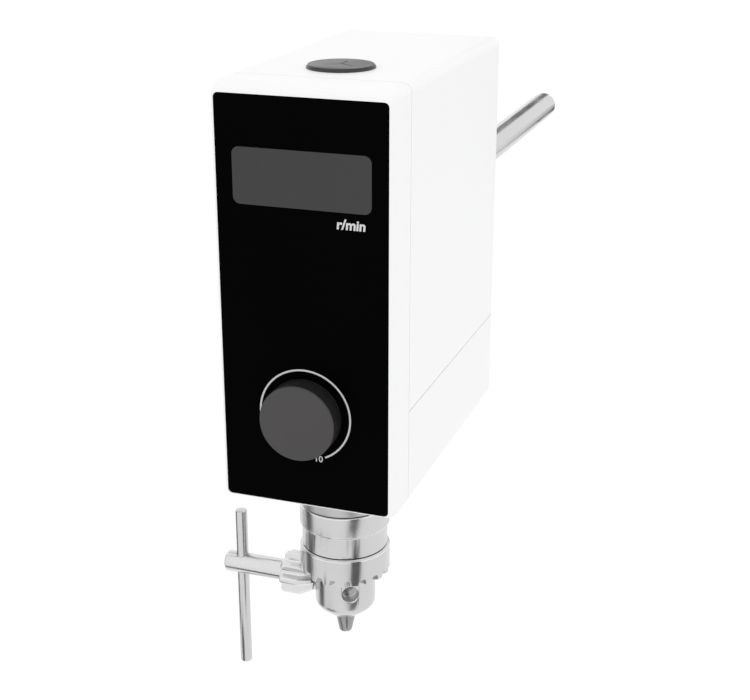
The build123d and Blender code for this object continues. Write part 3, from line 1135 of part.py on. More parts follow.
def chuck_body():
    """Steel body: collar, neck, nut groove and nose, with jaw bores and key holes."""
    groove_top = jaw_line_radius(CORE_BOTTOM) + JAW_RADIUS - GROOVE_DEPTH
    groove_foot = jaw_line_radius(GROOVE_BOTTOM) + JAW_RADIUS - GROOVE_DEPTH
    seat_floor = -CHUCK_TOP - TAIL_SEAT_DEPTH
    tail = SPINDLE_TAIL_RADIUS
    body = turned((tail, -CHUCK_TOP), (COLLAR_RADIUS - NECK_CHAMFER, -CHUCK_TOP),
                  (COLLAR_RADIUS, -CHUCK_TOP - NECK_CHAMFER), (COLLAR_RADIUS, NECK_CHAMFER - COLLAR_BOTTOM),
                  (NECK_RADIUS, -COLLAR_BOTTOM - NECK_CHAMFER), (NECK_RADIUS, -NECK_BOTTOM),
                  (CORE_RADIUS, -NECK_BOTTOM), (CORE_RADIUS, -CORE_BOTTOM), (groove_top, -CORE_BOTTOM),
                  (groove_foot, -GROOVE_BOTTOM), (CHUCK_NOSE_RADIUS, -GROOVE_BOTTOM),
                  (CHUCK_NOSE_RADIUS, -CONE_TOP), (MOUTH_RADIUS + MOUTH_LIP, -CONE_BOTTOM),
                  (MOUTH_RADIUS, -CONE_BOTTOM), (MOUTH_RADIUS, seat_floor), (tail, seat_floor))
    shoulder = body.edges().filter_by(GeomType.CIRCLE)
    shoulder = [edge for edge in shoulder if abs(edge.center().Z + CONE_TOP) < SMALL_RADIUS]
    body = fillet(shoulder, CONE_FILLET)
    bore = along_jaw(JAW_RADIUS + RUN, -2 * JAW_RADIUS, JAW_LENGTH + JAW_TRAVEL + CHUCK_GAP)
    body -= around_z(bore, JAWS)
    hole_middle = KEY_FACE - KEY_HOLE_DEPTH / 2
    hole = Rot(0, 90, 0) * Pos(0, 0, hole_middle) * Cylinder(KEY_HOLE_RADIUS, KEY_HOLE_DEPTH)
    flare_outer = KEY_HOLE_RADIUS + 2 * KEY_HOLE_CHAMFER
    flare = Cone(flare_outer, KEY_HOLE_RADIUS, flare_outer - KEY_HOLE_RADIUS)
    flare_at = CHUCK_NOSE_RADIUS - flare.bounding_box().size.Z / 2 + KEY_HOLE_CHAMFER / 2
    hole += Rot(0, 90, 0) * Pos(0, 0, flare_at) * Rot(180, 0, 0) * flare
    return body - around_z(Pos(0, 0, -KEY_LEVEL) * hole, JAWS, 180 / JAWS)


def gear_wedge(root, half_root, crest, half_crest, near, far):
    """Tooth space that narrows towards the crossing of the axes, drawn along +X."""
    corners = ((-half_root, root), (-half_crest, crest), (half_crest, crest), (half_root, root))
    faces = []
    for distance in (near, far):
        scale = distance / GEAR_RADIUS
        outline = Polyline(*[(y * scale, h * scale) for y, h in corners], close=True)
        faces.append(Plane.YZ.offset(distance) * make_face(outline))
    return loft(faces, ruled=True)


def chuck_sleeve():
    """Toothed sleeve: bored for the nut above, with bevel teeth on its lower face."""
    top = -NECK_BOTTOM - CHUCK_GAP
    bore = CORE_RADIUS + RUN
    hub = CHUCK_NOSE_RADIUS + RUN
    web = -GROOVE_BOTTOM + RUN
    pitch_height = PITCH_SLOPE * GEAR_RADIUS
    tip_slope = (pitch_height - SLEEVE_ADDENDUM) / GEAR_RADIUS
    outer_tip = tip_slope * SLEEVE_RADIUS - KEY_LEVEL
    inner_tip = tip_slope * hub - KEY_LEVEL
    sleeve = turned((bore, top), (SLEEVE_RADIUS - SLEEVE_CHAMFER, top), (SLEEVE_RADIUS, top - SLEEVE_CHAMFER),
                    (SLEEVE_RADIUS, outer_tip), (hub, inner_tip), (hub, web), (bore, web))
    half_space = TOOTH_PITCH * (1 - TOOTH_SHARE) / 2
    slope = tan(radians(TOOTH_SLOPE))
    opening = SLEEVE_ADDENDUM + TOOTH_OPENING
    space = gear_wedge(pitch_height + SLEEVE_DEDENDUM, half_space - SLEEVE_DEDENDUM * slope,
                       pitch_height - opening, half_space + opening * slope,
                       hub - WALL, SLEEVE_RADIUS + WALL)
    spaces = around_z(Pos(0, 0, -KEY_LEVEL) * space, SLEEVE_TEETH, 180)
    return sleeve - spaces


def split_nut():
    """Nut in two halves, pressed into the sleeve; the jaws' threads run in its cone."""
    top = -CORE_BOTTOM - RUN
    base = -GROOVE_BOTTOM + RUN
    outer = CORE_RADIUS + RUN
    upper = jaw_line_radius(-top) + JAW_RADIUS + RUN
    lower = jaw_line_radius(-base) + JAW_RADIUS + RUN
    ring = turned((lower, base), (outer, base), (outer, top), (upper, top))
    ring -= brick(-SEAM / 2, SEAM / 2, -COLLAR_RADIUS, COLLAR_RADIUS, base - WALL, top + WALL)
    return ring.solids()


def chuck_key():
    """Chuck key: pilot, bevel gear and shank, with the cross hole for the bar."""
    pitch_height = PITCH_SLOPE * GEAR_RADIUS
    crest = pitch_height + KEY_ADDENDUM
    face_radius = crest / GEAR_RADIUS * KEY_FACE
    gear_back = KEY_FACE + KEY_GEAR_LENGTH
    pilot = KEY_HOLE_RADIUS - RUN
    pilot_end = KEY_FACE - KEY_HOLE_DEPTH + KEY_FACE_GAP + RUN
    key = turned((0, pilot_end), (pilot - KEY_CHAMFER, pilot_end), (pilot, pilot_end + KEY_CHAMFER),
                 (pilot, KEY_FACE), (face_radius, KEY_FACE), (crest, GEAR_RADIUS),
                 (crest, gear_back - KEY_CHAMFER), (crest - KEY_CHAMFER, gear_back),
                 (KEY_SHANK_RADIUS, gear_back), (KEY_SHANK_RADIUS, KEY_REACH - KEY_CHAMFER),
                 (KEY_SHANK_RADIUS - KEY_CHAMFER, KEY_REACH), (0, KEY_REACH))
    half_space = TOOTH_PITCH * (1 - TOOTH_SHARE) / 2
    slope = tan(radians(TOOTH_SLOPE + 180 / KEY_TEETH))
    opening = KEY_ADDENDUM + TOOTH_OPENING
    root = pitch_height - KEY_DEDENDUM
    half_root = half_space - KEY_DEDENDUM * slope
    half_crest = half_space + opening * slope
    flute = gear_wedge(root, half_root, pitch_height + opening, half_crest, KEY_FACE - WALL, GEAR_RADIUS)
    outline = Polyline((-half_root, root), (-half_crest, pitch_height + opening),
                       (half_crest, pitch_height + opening), (half_root, root), close=True)
    flute += extrude(Plane.YZ.offset(GEAR_RADIUS) * make_face(outline), KEY_GEAR_LENGTH)
    flute = Rot(0, -90, 0) * flute
    key -= around_z(flute, KEY_TEETH, 180 / KEY_TEETH)
    hole = Pos(0, 0, BAR_DISTANCE) * Rot(0, 90, 0) * Cylinder(BAR_RADIUS + FIT, 4 * KEY_SHANK_RADIUS)
    return Pos(0, 0, -KEY_LEVEL) * Rot(0, -90, 0) * (key - hole)


def tommy_bar():
    """Sliding bar of the key, slipped down off its middle."""
    middle = -KEY_LEVEL - BAR_DROP
    bar = bar_z(BAR_RADIUS, middle - BAR_LENGTH / 2, middle + BAR_LENGTH / 2, -BAR_DISTANCE, 0)
    return chamfer(bar.edges().filter_by(GeomType.CIRCLE), BAR_CHAMFER)


PIECES = {
    "front_cover": front_cover,
    "upper_housing": upper_housing,
    "lower_housing": lower_housing,
    "front_panel": front_panel,
    "display_window": display_window,
    "display_module": display_module,
    "control_board": control_board,
    "control_board_screws": board_screws,
    "speed_pot": speed_pot,
    "pot_nut": pot_nut,
    "knob_shaft": knob_shaft,
    "speed_knob": speed_knob,
    "shaft_cap": shaft_cap,
    "support_rod": support_rod,
    "rod_set_screw": rod_screw,
    "base_plate": base_plate,
    "bearing_plate": bearing_plate,
    "chassis": chassis,
    "bearing_housing": bearing_housing,
    "lower_bearing": lambda: ball_bearing(LOWER_BEARING_LEVEL),
    "upper_bearing": lambda: ball_bearing(UPPER_BEARING_LEVEL),
    "bearing_retainer": bearing_retainer,
    "hollow_spindle": hollow_spindle,
    "driven_pulley": driven_pulley,
    "spindle_nut": spindle_nut,
    "sensor_disc": sensor_disc,
    "speed_sensor": speed_sensor,
    "motor_can": motor_can,
    "motor_magnets": motor_magnets,
    "motor_rotor": motor_rotor,
    "motor_shaft": motor_shaft,
    "motor_pulley": motor_pulley,
    "drive_belt": drive_belt,
    "power_board": power_board,
    "board_pillars": board_pillars,
    "ribbon_cable": ribbon_cable,
    "power_inlet": power_inlet,
    "switch_frame": switch_frame,
    "power_rocker": power_rocker,
    "cover_screws": cover_screws,
    "rear_screws": rear_screws,
    "base_screws": base_screws,
    "motor_screws": motor_screws,
    "flange_screws": flange_screws,
    "chuck_body": chuck_body,
    "chuck_sleeve": chuck_sleeve,
    "split_nut": split_nut,
    "chuck_key": chuck_key,
    "tommy_bar": tommy_bar,
}
for number in range(JAWS):
    PIECES[f"jaw_{number + 1}"] = lambda number=number: jaw(number)


def save(name, piece):
    """Write a piece, or a set of like pieces, as one STEP file in the part's own frame."""
    solids = piece if isinstance(piece, list) else piece.solids()
    placed = [TO_ORIGIN * solid for group in solids for solid in group.solids()]
    shape = placed[0] if len(placed) == 1 else Compound(children=placed)
    export_step(shape, f"parts/{name}.step")


os.makedirs("parts", exist_ok=True)
for name, make in PIECES.items():
    save(name, make())
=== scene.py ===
from math import cos, pi, radians, sin

import bmesh
import bpy
from mathutils import Matrix, Vector


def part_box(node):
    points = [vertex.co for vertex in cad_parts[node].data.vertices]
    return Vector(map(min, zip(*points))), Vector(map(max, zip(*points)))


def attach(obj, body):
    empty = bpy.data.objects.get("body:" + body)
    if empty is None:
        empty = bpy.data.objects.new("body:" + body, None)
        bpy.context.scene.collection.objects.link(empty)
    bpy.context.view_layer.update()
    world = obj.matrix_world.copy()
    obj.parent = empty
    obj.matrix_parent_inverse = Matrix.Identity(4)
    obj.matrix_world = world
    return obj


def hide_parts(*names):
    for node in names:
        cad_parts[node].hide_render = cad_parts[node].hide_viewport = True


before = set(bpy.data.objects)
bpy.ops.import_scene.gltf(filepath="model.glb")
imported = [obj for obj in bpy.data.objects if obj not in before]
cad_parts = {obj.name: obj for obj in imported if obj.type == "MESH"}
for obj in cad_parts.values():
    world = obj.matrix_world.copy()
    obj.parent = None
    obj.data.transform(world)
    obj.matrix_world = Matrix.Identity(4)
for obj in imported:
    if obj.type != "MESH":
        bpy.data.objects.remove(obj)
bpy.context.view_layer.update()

# Studio: the stirrer hangs by its rod over a pale floor in a white tent. The camera
# stands a little right of the front and looks down on it, as a catalogue picture does.
# Dark cards at the sides give the bright metal its soft vertical bands.
CAMERA_AT = Vector((0.20279, -0.70073, 0.17471))
LOOK_RIGHT = Vector((0.9443, 0.3292, 0.0))
LOOK_UP = Vector((-0.1147, 0.3290, 0.9373))
LOOK_BACK = Vector((0.3086, -0.8851, 0.3484))
LENS = 68.0
SENSOR = 36.0
CLIP_START = 0.01
TENT_STRENGTH = 1.09
BOX_AT = Vector((0.15, -0.55, 1.05))
BOX_AIM = Vector((0.0, -0.12, -0.05))
BOX_SIZE = 0.9
BOX_WATTS = 0.6
FLOOR_LEVEL = -0.54
FLOOR_SIZE = 14.0
FLOOR_MIDDLE = 1.5
CARD_DARK = (0.012, 0.012, 0.013)
CARD_HEIGHT = 0.7
CARD_LIFT = 0.36
CARD_DISTANCE = 0.44

tent = bpy.data.worlds.new("tent")
tent.use_nodes = True
tent.node_tree.nodes["Background"].inputs["Color"].default_value = (1.0, 1.0, 1.0, 1.0)
tent.node_tree.nodes["Background"].inputs["Strength"].default_value = TENT_STRENGTH
bpy.context.scene.world = tent
bpy.context.scene.view_settings.view_transform = "Standard"

lens = bpy.data.cameras.new("catalogue_lens")
lens.sensor_width = SENSOR
lens.lens = LENS
lens.clip_start = CLIP_START
camera = bpy.data.objects.new("catalogue_camera", lens)
camera.matrix_world = Matrix.Translation(CAMERA_AT) @ Matrix(
    (LOOK_RIGHT.normalized(), LOOK_UP.normalized(), LOOK_BACK.normalized())).transposed().to_4x4()
bpy.context.scene.collection.objects.link(camera)
bpy.context.scene.camera = camera

light = bpy.data.lights.new("top_box", "AREA")
light.shape = "SQUARE"
light.size = BOX_SIZE
light.energy = BOX_WATTS
lamp = bpy.data.objects.new("top_box", light)
lamp.location = BOX_AT
lamp.rotation_euler = (BOX_AIM - BOX_AT).to_track_quat("-Z", "Y").to_euler()
lamp.visible_camera = False
bpy.context.scene.collection.objects.link(lamp)


def flat_card(name, width, height, place, turn, tilt=0.0):
    """Flat card, upright unless tilted, turned about Z."""
    shape = bmesh.new()
    bmesh.ops.create_grid(shape, x_segments=1, y_segments=1, size=0.5)
    bmesh.ops.scale(shape, vec=(width, height, 1.0), verts=shape.verts)
    stand = Matrix.Translation(place) @ Matrix.Rotation(turn, 4, "Z") @ Matrix.Rotation(pi / 2 + tilt, 4, "X")
    bmesh.ops.transform(shape, matrix=stand, verts=shape.verts)
    mesh = bpy.data.meshes.new(name)
    shape.to_mesh(mesh)
    shape.free()
    card = bpy.data.objects.new(name, mesh)
    bpy.context.scene.collection.objects.link(card)
    return card


paper = bpy.data.materials.new("pale_floor")
paper.use_nodes = True
paper_shader = paper.node_tree.nodes["Principled BSDF"]
paper_shader.inputs["Roughness"].default_value = 0.9
paper_shader.inputs["Specular IOR Level"].default_value = 0.1
paper_noise = paper.node_tree.nodes.new("ShaderNodeTexNoise")
paper_noise.inputs["Scale"].default_value = 40.0
paper_ramp = paper.node_tree.nodes.new("ShaderNodeValToRGB")
paper_ramp.color_ramp.elements[0].color = (0.955, 0.955, 0.955, 1.0)
paper_ramp.color_ramp.elements[1].color = (0.965, 0.965, 0.965, 1.0)
paper.node_tree.links.new(paper_noise.outputs["Fac"], paper_ramp.inputs["Fac"])
paper.node_tree.links.new(paper_ramp.outputs["Color"], paper_shader.inputs["Base Color"])

floor = flat_card("studio_floor", FLOOR_SIZE, FLOOR_SIZE, (0.0, FLOOR_MIDDLE, FLOOR_LEVEL), 0.0, -pi / 2)
floor.data.materials.append(paper)

velvet = bpy.data.materials.new("dark_velvet")
velvet.use_nodes = True
velvet_shader = velvet.node_tree.nodes["Principled BSDF"]
velvet_shader.inputs["Base Color"].default_value = (*CARD_DARK, 1.0)
velvet_shader.inputs["Roughness"].default_value = 1.0
velvet_shader.inputs["Specular IOR Level"].default_value = 0.0

axis_low, axis_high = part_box("hollow_spindle")
AXIS_X = (axis_low.x + axis_high.x) / 2
AXIS_Y = (axis_low.y + axis_high.y) / 2


def dark_card(name, width, height, place, turn=0.0, tilt=0.0):
    """Velvet card that shows in reflections only."""
    card = flat_card(name, width, height, place, turn, tilt)
    card.data.materials.append(velvet)
    card.visible_camera = card.visible_diffuse = card.visible_shadow = False


def standing_card(name, bearing, width):
    """Dark card at a bearing from the chuck, 0 to the front, positive to the left."""
    turn = radians(bearing)
    place = (AXIS_X - CARD_DISTANCE * sin(turn), AXIS_Y - CARD_DISTANCE * cos(turn), FLOOR_LEVEL + CARD_LIFT)
    dark_card(name, width, CARD_HEIGHT, place, -turn)


standing_card("left_card", 82.0, 0.2)
standing_card("right_card", -45.0, 0.19)

# Small dark cards out of sight shade the upper and lower sides of the rod and of the key.
dark_card("rod_card_high", 0.26, 0.22, (-0.13, 1.15, 0.28))
dark_card("rod_card_low", 0.2, 0.2, (0.13, 1.15, -0.18))
dark_card("key_card_high", 0.2, 0.2, (-0.27, 0.15, 0.30), tilt=-pi / 3)
dark_card("key_card_low", 0.24, 0.2, (AXIS_X - 0.23, AXIS_Y - 0.2, FLOOR_LEVEL + 0.02), tilt=-pi / 2)

# Chassis: a cast aluminium rear frame that holds the rod, with a milled base plate under it
# and a milled bearing plate on its gussets. The casting keeps a sandy skin; plates are bare.
CAST_GREY = (0.40, 0.41, 0.42)
PLATE_GREY = (0.56, 0.57, 0.58)


def surface_grain():
    """Node group: fine stretched grain for relief, and broad clouds for uneven handling."""
    group = bpy.data.node_groups.new("surface_grain", "ShaderNodeTree")
    for label, kind in (("Grain Scale", "NodeSocketFloat"), ("Cloud Scale", "NodeSocketFloat"),
                        ("Stretch", "NodeSocketVector")):
        group.interface.new_socket(label, in_out="INPUT", socket_type=kind)
    for label in ("Relief", "Clouds"):
        group.interface.new_socket(label, in_out="OUTPUT", socket_type="NodeSocketFloat")
    nodes, links = group.nodes, group.links
    way_in = nodes.new("NodeGroupInput")
    way_out = nodes.new("NodeGroupOutput")
    place = nodes.new("ShaderNodeTexCoord")
    pull = nodes.new("ShaderNodeVectorMath")
    pull.operation = "MULTIPLY"
    grain = nodes.new("ShaderNodeTexNoise")
    grain.inputs["Detail"].default_value = 4.0
    clouds = nodes.new("ShaderNodeTexNoise")
    clouds.inputs["Detail"].default_value = 3.0
    links.new(place.outputs["Object"], pull.inputs[0])
    links.new(way_in.outputs["Stretch"], pull.inputs[1])
    links.new(pull.outputs["Vector"], grain.inputs["Vector"])
    links.new(way_in.outputs["Grain Scale"], grain.inputs["Scale"])
    links.new(place.outputs["Object"], clouds.inputs["Vector"])
    links.new(way_in.outputs["Cloud Scale"], clouds.inputs["Scale"])
    links.new(grain.outputs["Fac"], way_out.inputs["Relief"])
    links.new(clouds.outputs["Fac"], way_out.inputs["Clouds"])
    return group


GRAIN = surface_grain()


def finish(name, colour, roughness, metallic=0.0, grain=900.0, clouds=25.0, stretch=(1.0, 1.0, 1.0),
           tone=0.05, spread=0.06, relief=0.15, depth=0.00005, specular=0.5):
    """Material with a fine grain in relief, and broad clouds in its colour and gloss."""
    material = bpy.data.materials.new(name)
    material.use_nodes = True
    nodes, links = material.node_tree.nodes, material.node_tree.links
    shader = nodes["Principled BSDF"]
    shader.inputs["Metallic"].default_value = metallic
    shader.inputs["Specular IOR Level"].default_value = specular
    surface = nodes.new("ShaderNodeGroup")
    surface.node_tree = GRAIN
    surface.inputs["Grain Scale"].default_value = grain
    surface.inputs["Cloud Scale"].default_value = clouds
    surface.inputs["Stretch"].default_value = stretch
    blend = nodes.new("ShaderNodeMath")
    blend.operation = "MULTIPLY"
    links.new(surface.outputs["Relief"], blend.inputs[0])
    links.new(surface.outputs["Clouds"], blend.inputs[1])
    shade = nodes.new("ShaderNodeMapRange")
    shade.inputs["From Min"].default_value = 0.15
    shade.inputs["From Max"].default_value = 0.35
    links.new(blend.outputs[0], shade.inputs["Value"])
    tint = nodes.new("ShaderNodeMix")
    tint.data_type = "RGBA"
    tint.inputs["A"].default_value = (*[c * (1.0 - tone) for c in colour], 1.0)
    tint.inputs["B"].default_value = (*[min(c * (1.0 + tone), 1.0) for c in colour], 1.0)
    links.new(shade.outputs["Result"], tint.inputs["Factor"])
    links.new(tint.outputs["Result"], shader.inputs["Base Color"])
    gloss = nodes.new("ShaderNodeMapRange")
    gloss.inputs["From Min"].default_value = 0.3
    gloss.inputs["From Max"].default_value = 0.7
    gloss.inputs["To Min"].default_value = max(roughness - spread, 0.02)
    gloss.inputs["To Max"].default_value = min(roughness + spread, 1.0)
    links.new(surface.outputs["Clouds"], gloss.inputs["Value"])
    links.new(gloss.outputs["Result"], shader.inputs["Roughness"])
    bump = nodes.new("ShaderNodeBump")
    bump.inputs["Strength"].default_value = relief
    bump.inputs["Distance"].default_value = depth
    links.new(surface.outputs["Relief"], bump.inputs["Height"])
    links.new(bump.outputs["Normal"], shader.inputs["Normal"])
    return material


def dress(material, *names):
    """Give CAD nodes that stay as they are their finish."""
    for name in names:
        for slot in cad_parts[name].material_slots:
            slot.material = material


cast_aluminium = finish("cast_aluminium", CAST_GREY, 0.55, 1.0, grain=1400.0, tone=0.12, relief=0.6, depth=0.0001)
milled_aluminium = finish("milled_aluminium", PLATE_GREY, 0.32, 1.0, grain=500.0, stretch=(1.0, 12.0, 1.0),
                          relief=0.3)
dress(cast_aluminium, "chassis")
dress(milled_aluminium, "base_plate", "bearing_plate")

# Motor: a steel can screwed up under the bearing plate, with sintered magnets glued in and
# a slotted, laminated core on a ground shaft.
motor_steel = finish("motor_steel", (0.38, 0.39, 0.40), 0.35, 1.0, grain=700.0, tone=0.08)
sintered_magnet = finish("sintered_magnet", (0.06, 0.06, 0.065), 0.7, 0.3, grain=1600.0, relief=0.5)
laminated_iron = finish("laminated_iron", (0.16, 0.155, 0.15), 0.5, 0.9, grain=400.0, stretch=(1.0, 1.0, 20.0),
                        relief=0.5)
turned_steel = finish("turned_steel", (0.58, 0.58, 0.58), 0.22, 1.0, grain=300.0, stretch=(1.0, 1.0, 25.0),
                      relief=0.2)
dress(motor_steel, "motor_can")
dress(sintered_magnet, "motor_magnets")
dress(laminated_iron, "motor_rotor")
dress(turned_steel, "motor_shaft", "hollow_spindle", "spindle_nut")

# Bearings: two shielded ball bearings of polished steel, each drawn as one turned body, and
# the ring that keeps the lower one on its floor.
bearing_steel = finish("bearing_steel", (0.66, 0.66, 0.67), 0.14, 1.0, grain=300.0, relief=0.05, spread=0.04)
dress(bearing_steel, "lower_bearing", "upper_bearing", "bearing_retainer")

# Belt drive: turned aluminium pulleys and a rubber belt, drawn smooth, with the slotted
# plastic disc and the forked sensor that read the spindle's speed.
turned_aluminium = finish("turned_aluminium", (0.60, 0.60, 0.61), 0.28, 1.0, grain=350.0,
                          stretch=(1.0, 1.0, 30.0), relief=0.25)
belt_rubber = finish("belt_rubber", (0.018, 0.018, 0.019), 0.75, grain=1500.0, relief=0.5, tone=0.2)
black_plastic = finish("black_plastic", (0.02, 0.02, 0.021), 0.42, grain=2200.0, relief=0.35, tone=0.15)
dress(turned_aluminium, "driven_pulley", "motor_pulley")
dress(belt_rubber, "drive_belt")
dress(black_plastic, "sensor_disc", "speed_sensor")

# Boards: green glass-fibre boards with their parts, on brass pillars, joined by a grey
# ribbon cable; the four-digit display block sits behind the window.
board_green = finish("board_green", (0.015, 0.11, 0.045), 0.35, grain=2500.0, relief=0.2, tone=0.15)
pillar_brass = finish("pillar_brass", (0.66, 0.48, 0.20), 0.25, 1.0, grain=400.0, stretch=(1.0, 1.0, 10.0))
ribbon_grey = finish("ribbon_grey", (0.42, 0.42, 0.44), 0.5, grain=120.0, stretch=(8.0, 0.2, 0.2), relief=0.6,
                     depth=0.0002)
display_black = finish("display_black", (0.03, 0.03, 0.03), 0.4, grain=1800.0, relief=0.2)
zinc_plate = finish("zinc_plate", (0.60, 0.60, 0.58), 0.30, 1.0, grain=900.0, tone=0.08)
dress(board_green, "control_board", "power_board")
dress(pillar_brass, "board_pillars")
dress(ribbon_grey, "ribbon_cable")
dress(display_black, "display_module")
dress(zinc_plate, "control_board_screws", "cover_screws", "rear_screws", "base_screws", "motor_screws",
      "flange_screws", "pot_nut", "rod_set_screw", "speed_pot", "knob_shaft")

# Housing: a front cover, an upper shell and a base shell, moulded in white plastic with a
# very fine spark-eroded skin. They meet at two open seams.
SHELL_WHITE = (0.85, 0.85, 0.853)
SHARP_ABOVE = 30.0
BEVEL_ABOVE = 40.0
BEVEL_SEGMENTS = 2
MERGE_WITHIN = 0.000004
FLAT_WITHIN = 0.6

shell_white = finish("shell_white", SHELL_WHITE, 0.42, grain=2600.0, clouds=9.0, tone=0.006, relief=0.06,
                     depth=0.00003, specular=0.35)
dress(shell_white, "upper_housing", "lower_housing", "front_cover")


def new_piece(name, shape, body, slot, material, *nodes):
    """Finished mesh as a piece that rides on a body and stands for CAD nodes."""
    mesh = bpy.data.meshes.new(name)
    shape.to_mesh(mesh)
    shape.free()
    mesh.shade_smooth()
    mesh.set_sharp_from_angle(angle=radians(SHARP_ABOVE))
    mesh.materials.append(material)
    piece = bpy.data.objects.new(name, mesh)
    bpy.context.scene.collection.objects.link(piece)
    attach(piece, body)
    if nodes:
        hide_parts(*nodes)
    return piece


def soften(piece, width, edge_material=None):
    """Small round along a piece's hard edges, if wanted in a finish of its own, which on the steel parts is a
    brighter painted highlight.
    """
    if edge_material:
        piece.data.materials.append(edge_material)
    edge = piece.modifiers.new("edge", "BEVEL")
    edge.limit_method = "ANGLE"
    edge.angle_limit = radians(BEVEL_ABOVE)
    edge.width = width
    edge.segments = BEVEL_SEGMENTS
    edge.use_clamp_overlap = False
    edge.harden_normals = True
    edge.material = 1 if edge_material else -1


def merged_copy(node):
    """Copy of a CAD node's mesh with its loose triangles joined into whole faces."""
    shape = bmesh.new()
    shape.from_mesh(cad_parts[node].data)
    bmesh.ops.remove_doubles(shape, verts=shape.verts, dist=MERGE_WITHIN)
    bmesh.ops.dissolve_limit(shape, angle_limit=radians(FLAT_WITHIN), use_dissolve_boundaries=False,
                             verts=shape.verts, edges=shape.edges)
    return shape


# Front panel: a black printed film on a thin plate, glued into the cover's pocket, with a
# rounded cut-out for the window. The plate's front edge is broken.
PANEL_CORNER = 0.0022
WINDOW_CORNER = 0.0033
WINDOW_GAP = 0.00015
CORNER_STEPS = 8
PANEL_BREAK = 0.00025
PANEL_BLACK = (0.0009, 0.0008, 0.0009)

panel_black = finish("panel_black", PANEL_BLACK, 0.5, grain=3000.0, clouds=14.0, tone=0.2, relief=0.08,
                     depth=0.00002, specular=0.012)


def rounded_plate(width, height, corner, face_y, x, z):
    """Upright rounded rectangle whose face looks to the front."""
    shape = bmesh.new()
    bmesh.ops.create_grid(shape, x_segments=1, y_segments=1, size=0.5)
    bmesh.ops.scale(shape, vec=(width, height, 1.0), verts=shape.verts)
    bmesh.ops.bevel(shape, geom=shape.verts[:], offset=corner, affect="VERTICES", segments=CORNER_STEPS,
                    profile=0.5, material=-1)
    upright = Matrix.Translation((x, face_y, z)) @ Matrix.Rotation(pi / 2, 4, "X")
    bmesh.ops.transform(shape, matrix=upright, verts=shape.verts)
    return shape


def box_of(node):
    """Size, middle and low corner of a CAD node."""
    low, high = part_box(node)
    return high - low, (high + low) / 2, low


def thicken(shape, depth):
    """Carry a flat front-facing shape along Y, so that it becomes a plate."""
    moved = bmesh.ops.extrude_face_region(shape, geom=shape.faces[:])["geom"]
    bmesh.ops.translate(shape, vec=(0.0, depth, 0.0),
                        verts=[item for item in moved if isinstance(item, bmesh.types.BMVert)])
    bmesh.ops.recalc_face_normals(shape, faces=shape.faces)


panel_size, panel_middle, panel_low = box_of("front_panel")
window_size, window_middle, window_low = box_of("display_window")
WINDOW_WIDTH = 0.0626
WINDOW_HEIGHT = 0.0248

panel = rounded_plate(panel_size.x, panel_size.z, PANEL_CORNER, panel_low.y, panel_middle.x, panel_middle.z)
opening = rounded_plate(WINDOW_WIDTH + 2 * WINDOW_GAP, WINDOW_HEIGHT + 2 * WINDOW_GAP, WINDOW_CORNER,
                        panel_low.y, window_middle.x, window_middle.z)
cut = bpy.data.meshes.new("cut")
opening.to_mesh(cut)
opening.free()
panel.from_mesh(cut)
bpy.data.meshes.remove(cut)
bmesh.ops.delete(panel, geom=panel.faces[:], context="FACES_ONLY")
bmesh.ops.bridge_loops(panel, edges=panel.edges[:])
thicken(panel, panel_size.y)
soften(new_piece("printed_panel", panel, "stirrer", "panel_black", panel_black, "front_panel"), PANEL_BREAK)

# Display window: a smoked acrylic plate, flush in the panel, flat grey while the display
# behind it is off.
WINDOW_GREY = (0.056, 0.055, 0.056)
WINDOW_BREAK = 0.0003

window_grey = finish("window_grey", WINDOW_GREY, 0.3, grain=3500.0, clouds=12.0, tone=0.02, relief=0.02,
                     depth=0.00001, specular=0.03)
window = rounded_plate(WINDOW_WIDTH, WINDOW_HEIGHT, WINDOW_CORNER, window_low.y, window_middle.x, window_middle.z)
thicken(window, window_size.y)
soften(new_piece("smoked_window", window, "stirrer", "window_grey", window_grey, "display_window"), WINDOW_BREAK)

# Print on the panel: the scale ring around the knob, open at the foot for its end numbers,
# and the unit under the window. White ink stands a hair above the film.
INK_WHITE = (0.60, 0.60, 0.61)
INK_THICKNESS = 0.00003
RING_RADIUS = 0.0212
RING_STROKE = 0.00085
RING_GAP = 25.9
RING_STEPS = 160
NUMBER_HEIGHT = 0.0029
NUMBER_WEIGHT = 0.00006
NUMBER_TURN = 16.9
UNIT_HEIGHT = 0.0042
UNIT_WEIGHT = 0.00018
UNIT_SLANT = 0.08
UNIT_X = 0.0061
UNIT_Z = 0.0182
LETTER_RISE = 0.7
LETTER_MERGE = 0.000001

ink_white = finish("ink_white", INK_WHITE, 0.6, grain=3000.0, tone=0.03, relief=0.1, depth=0.00001, specular=0.2)
knob_size, knob_middle, knob_low = box_of("speed_knob")
DIAL_X = knob_middle.x
DIAL_Z = knob_middle.z

ring = bmesh.new()
start = radians(-90.0 + RING_GAP)
rim = [ring.verts.new((DIAL_X + radius * cos(start), panel_low.y, DIAL_Z + radius * sin(start)))
       for radius in (RING_RADIUS - RING_STROKE / 2, RING_RADIUS + RING_STROKE / 2)]
ring.edges.new(rim)
bmesh.ops.spin(ring, geom=ring.verts[:] + ring.edges[:], cent=(DIAL_X, panel_low.y, DIAL_Z), axis=(0.0, -1.0, 0.0),
               angle=radians(360.0 - 2 * RING_GAP), steps=RING_STEPS, use_merge=False)
thicken(ring, -INK_THICKNESS)
new_piece("scale_ring", ring, "stirrer", "panel_black", ink_white)


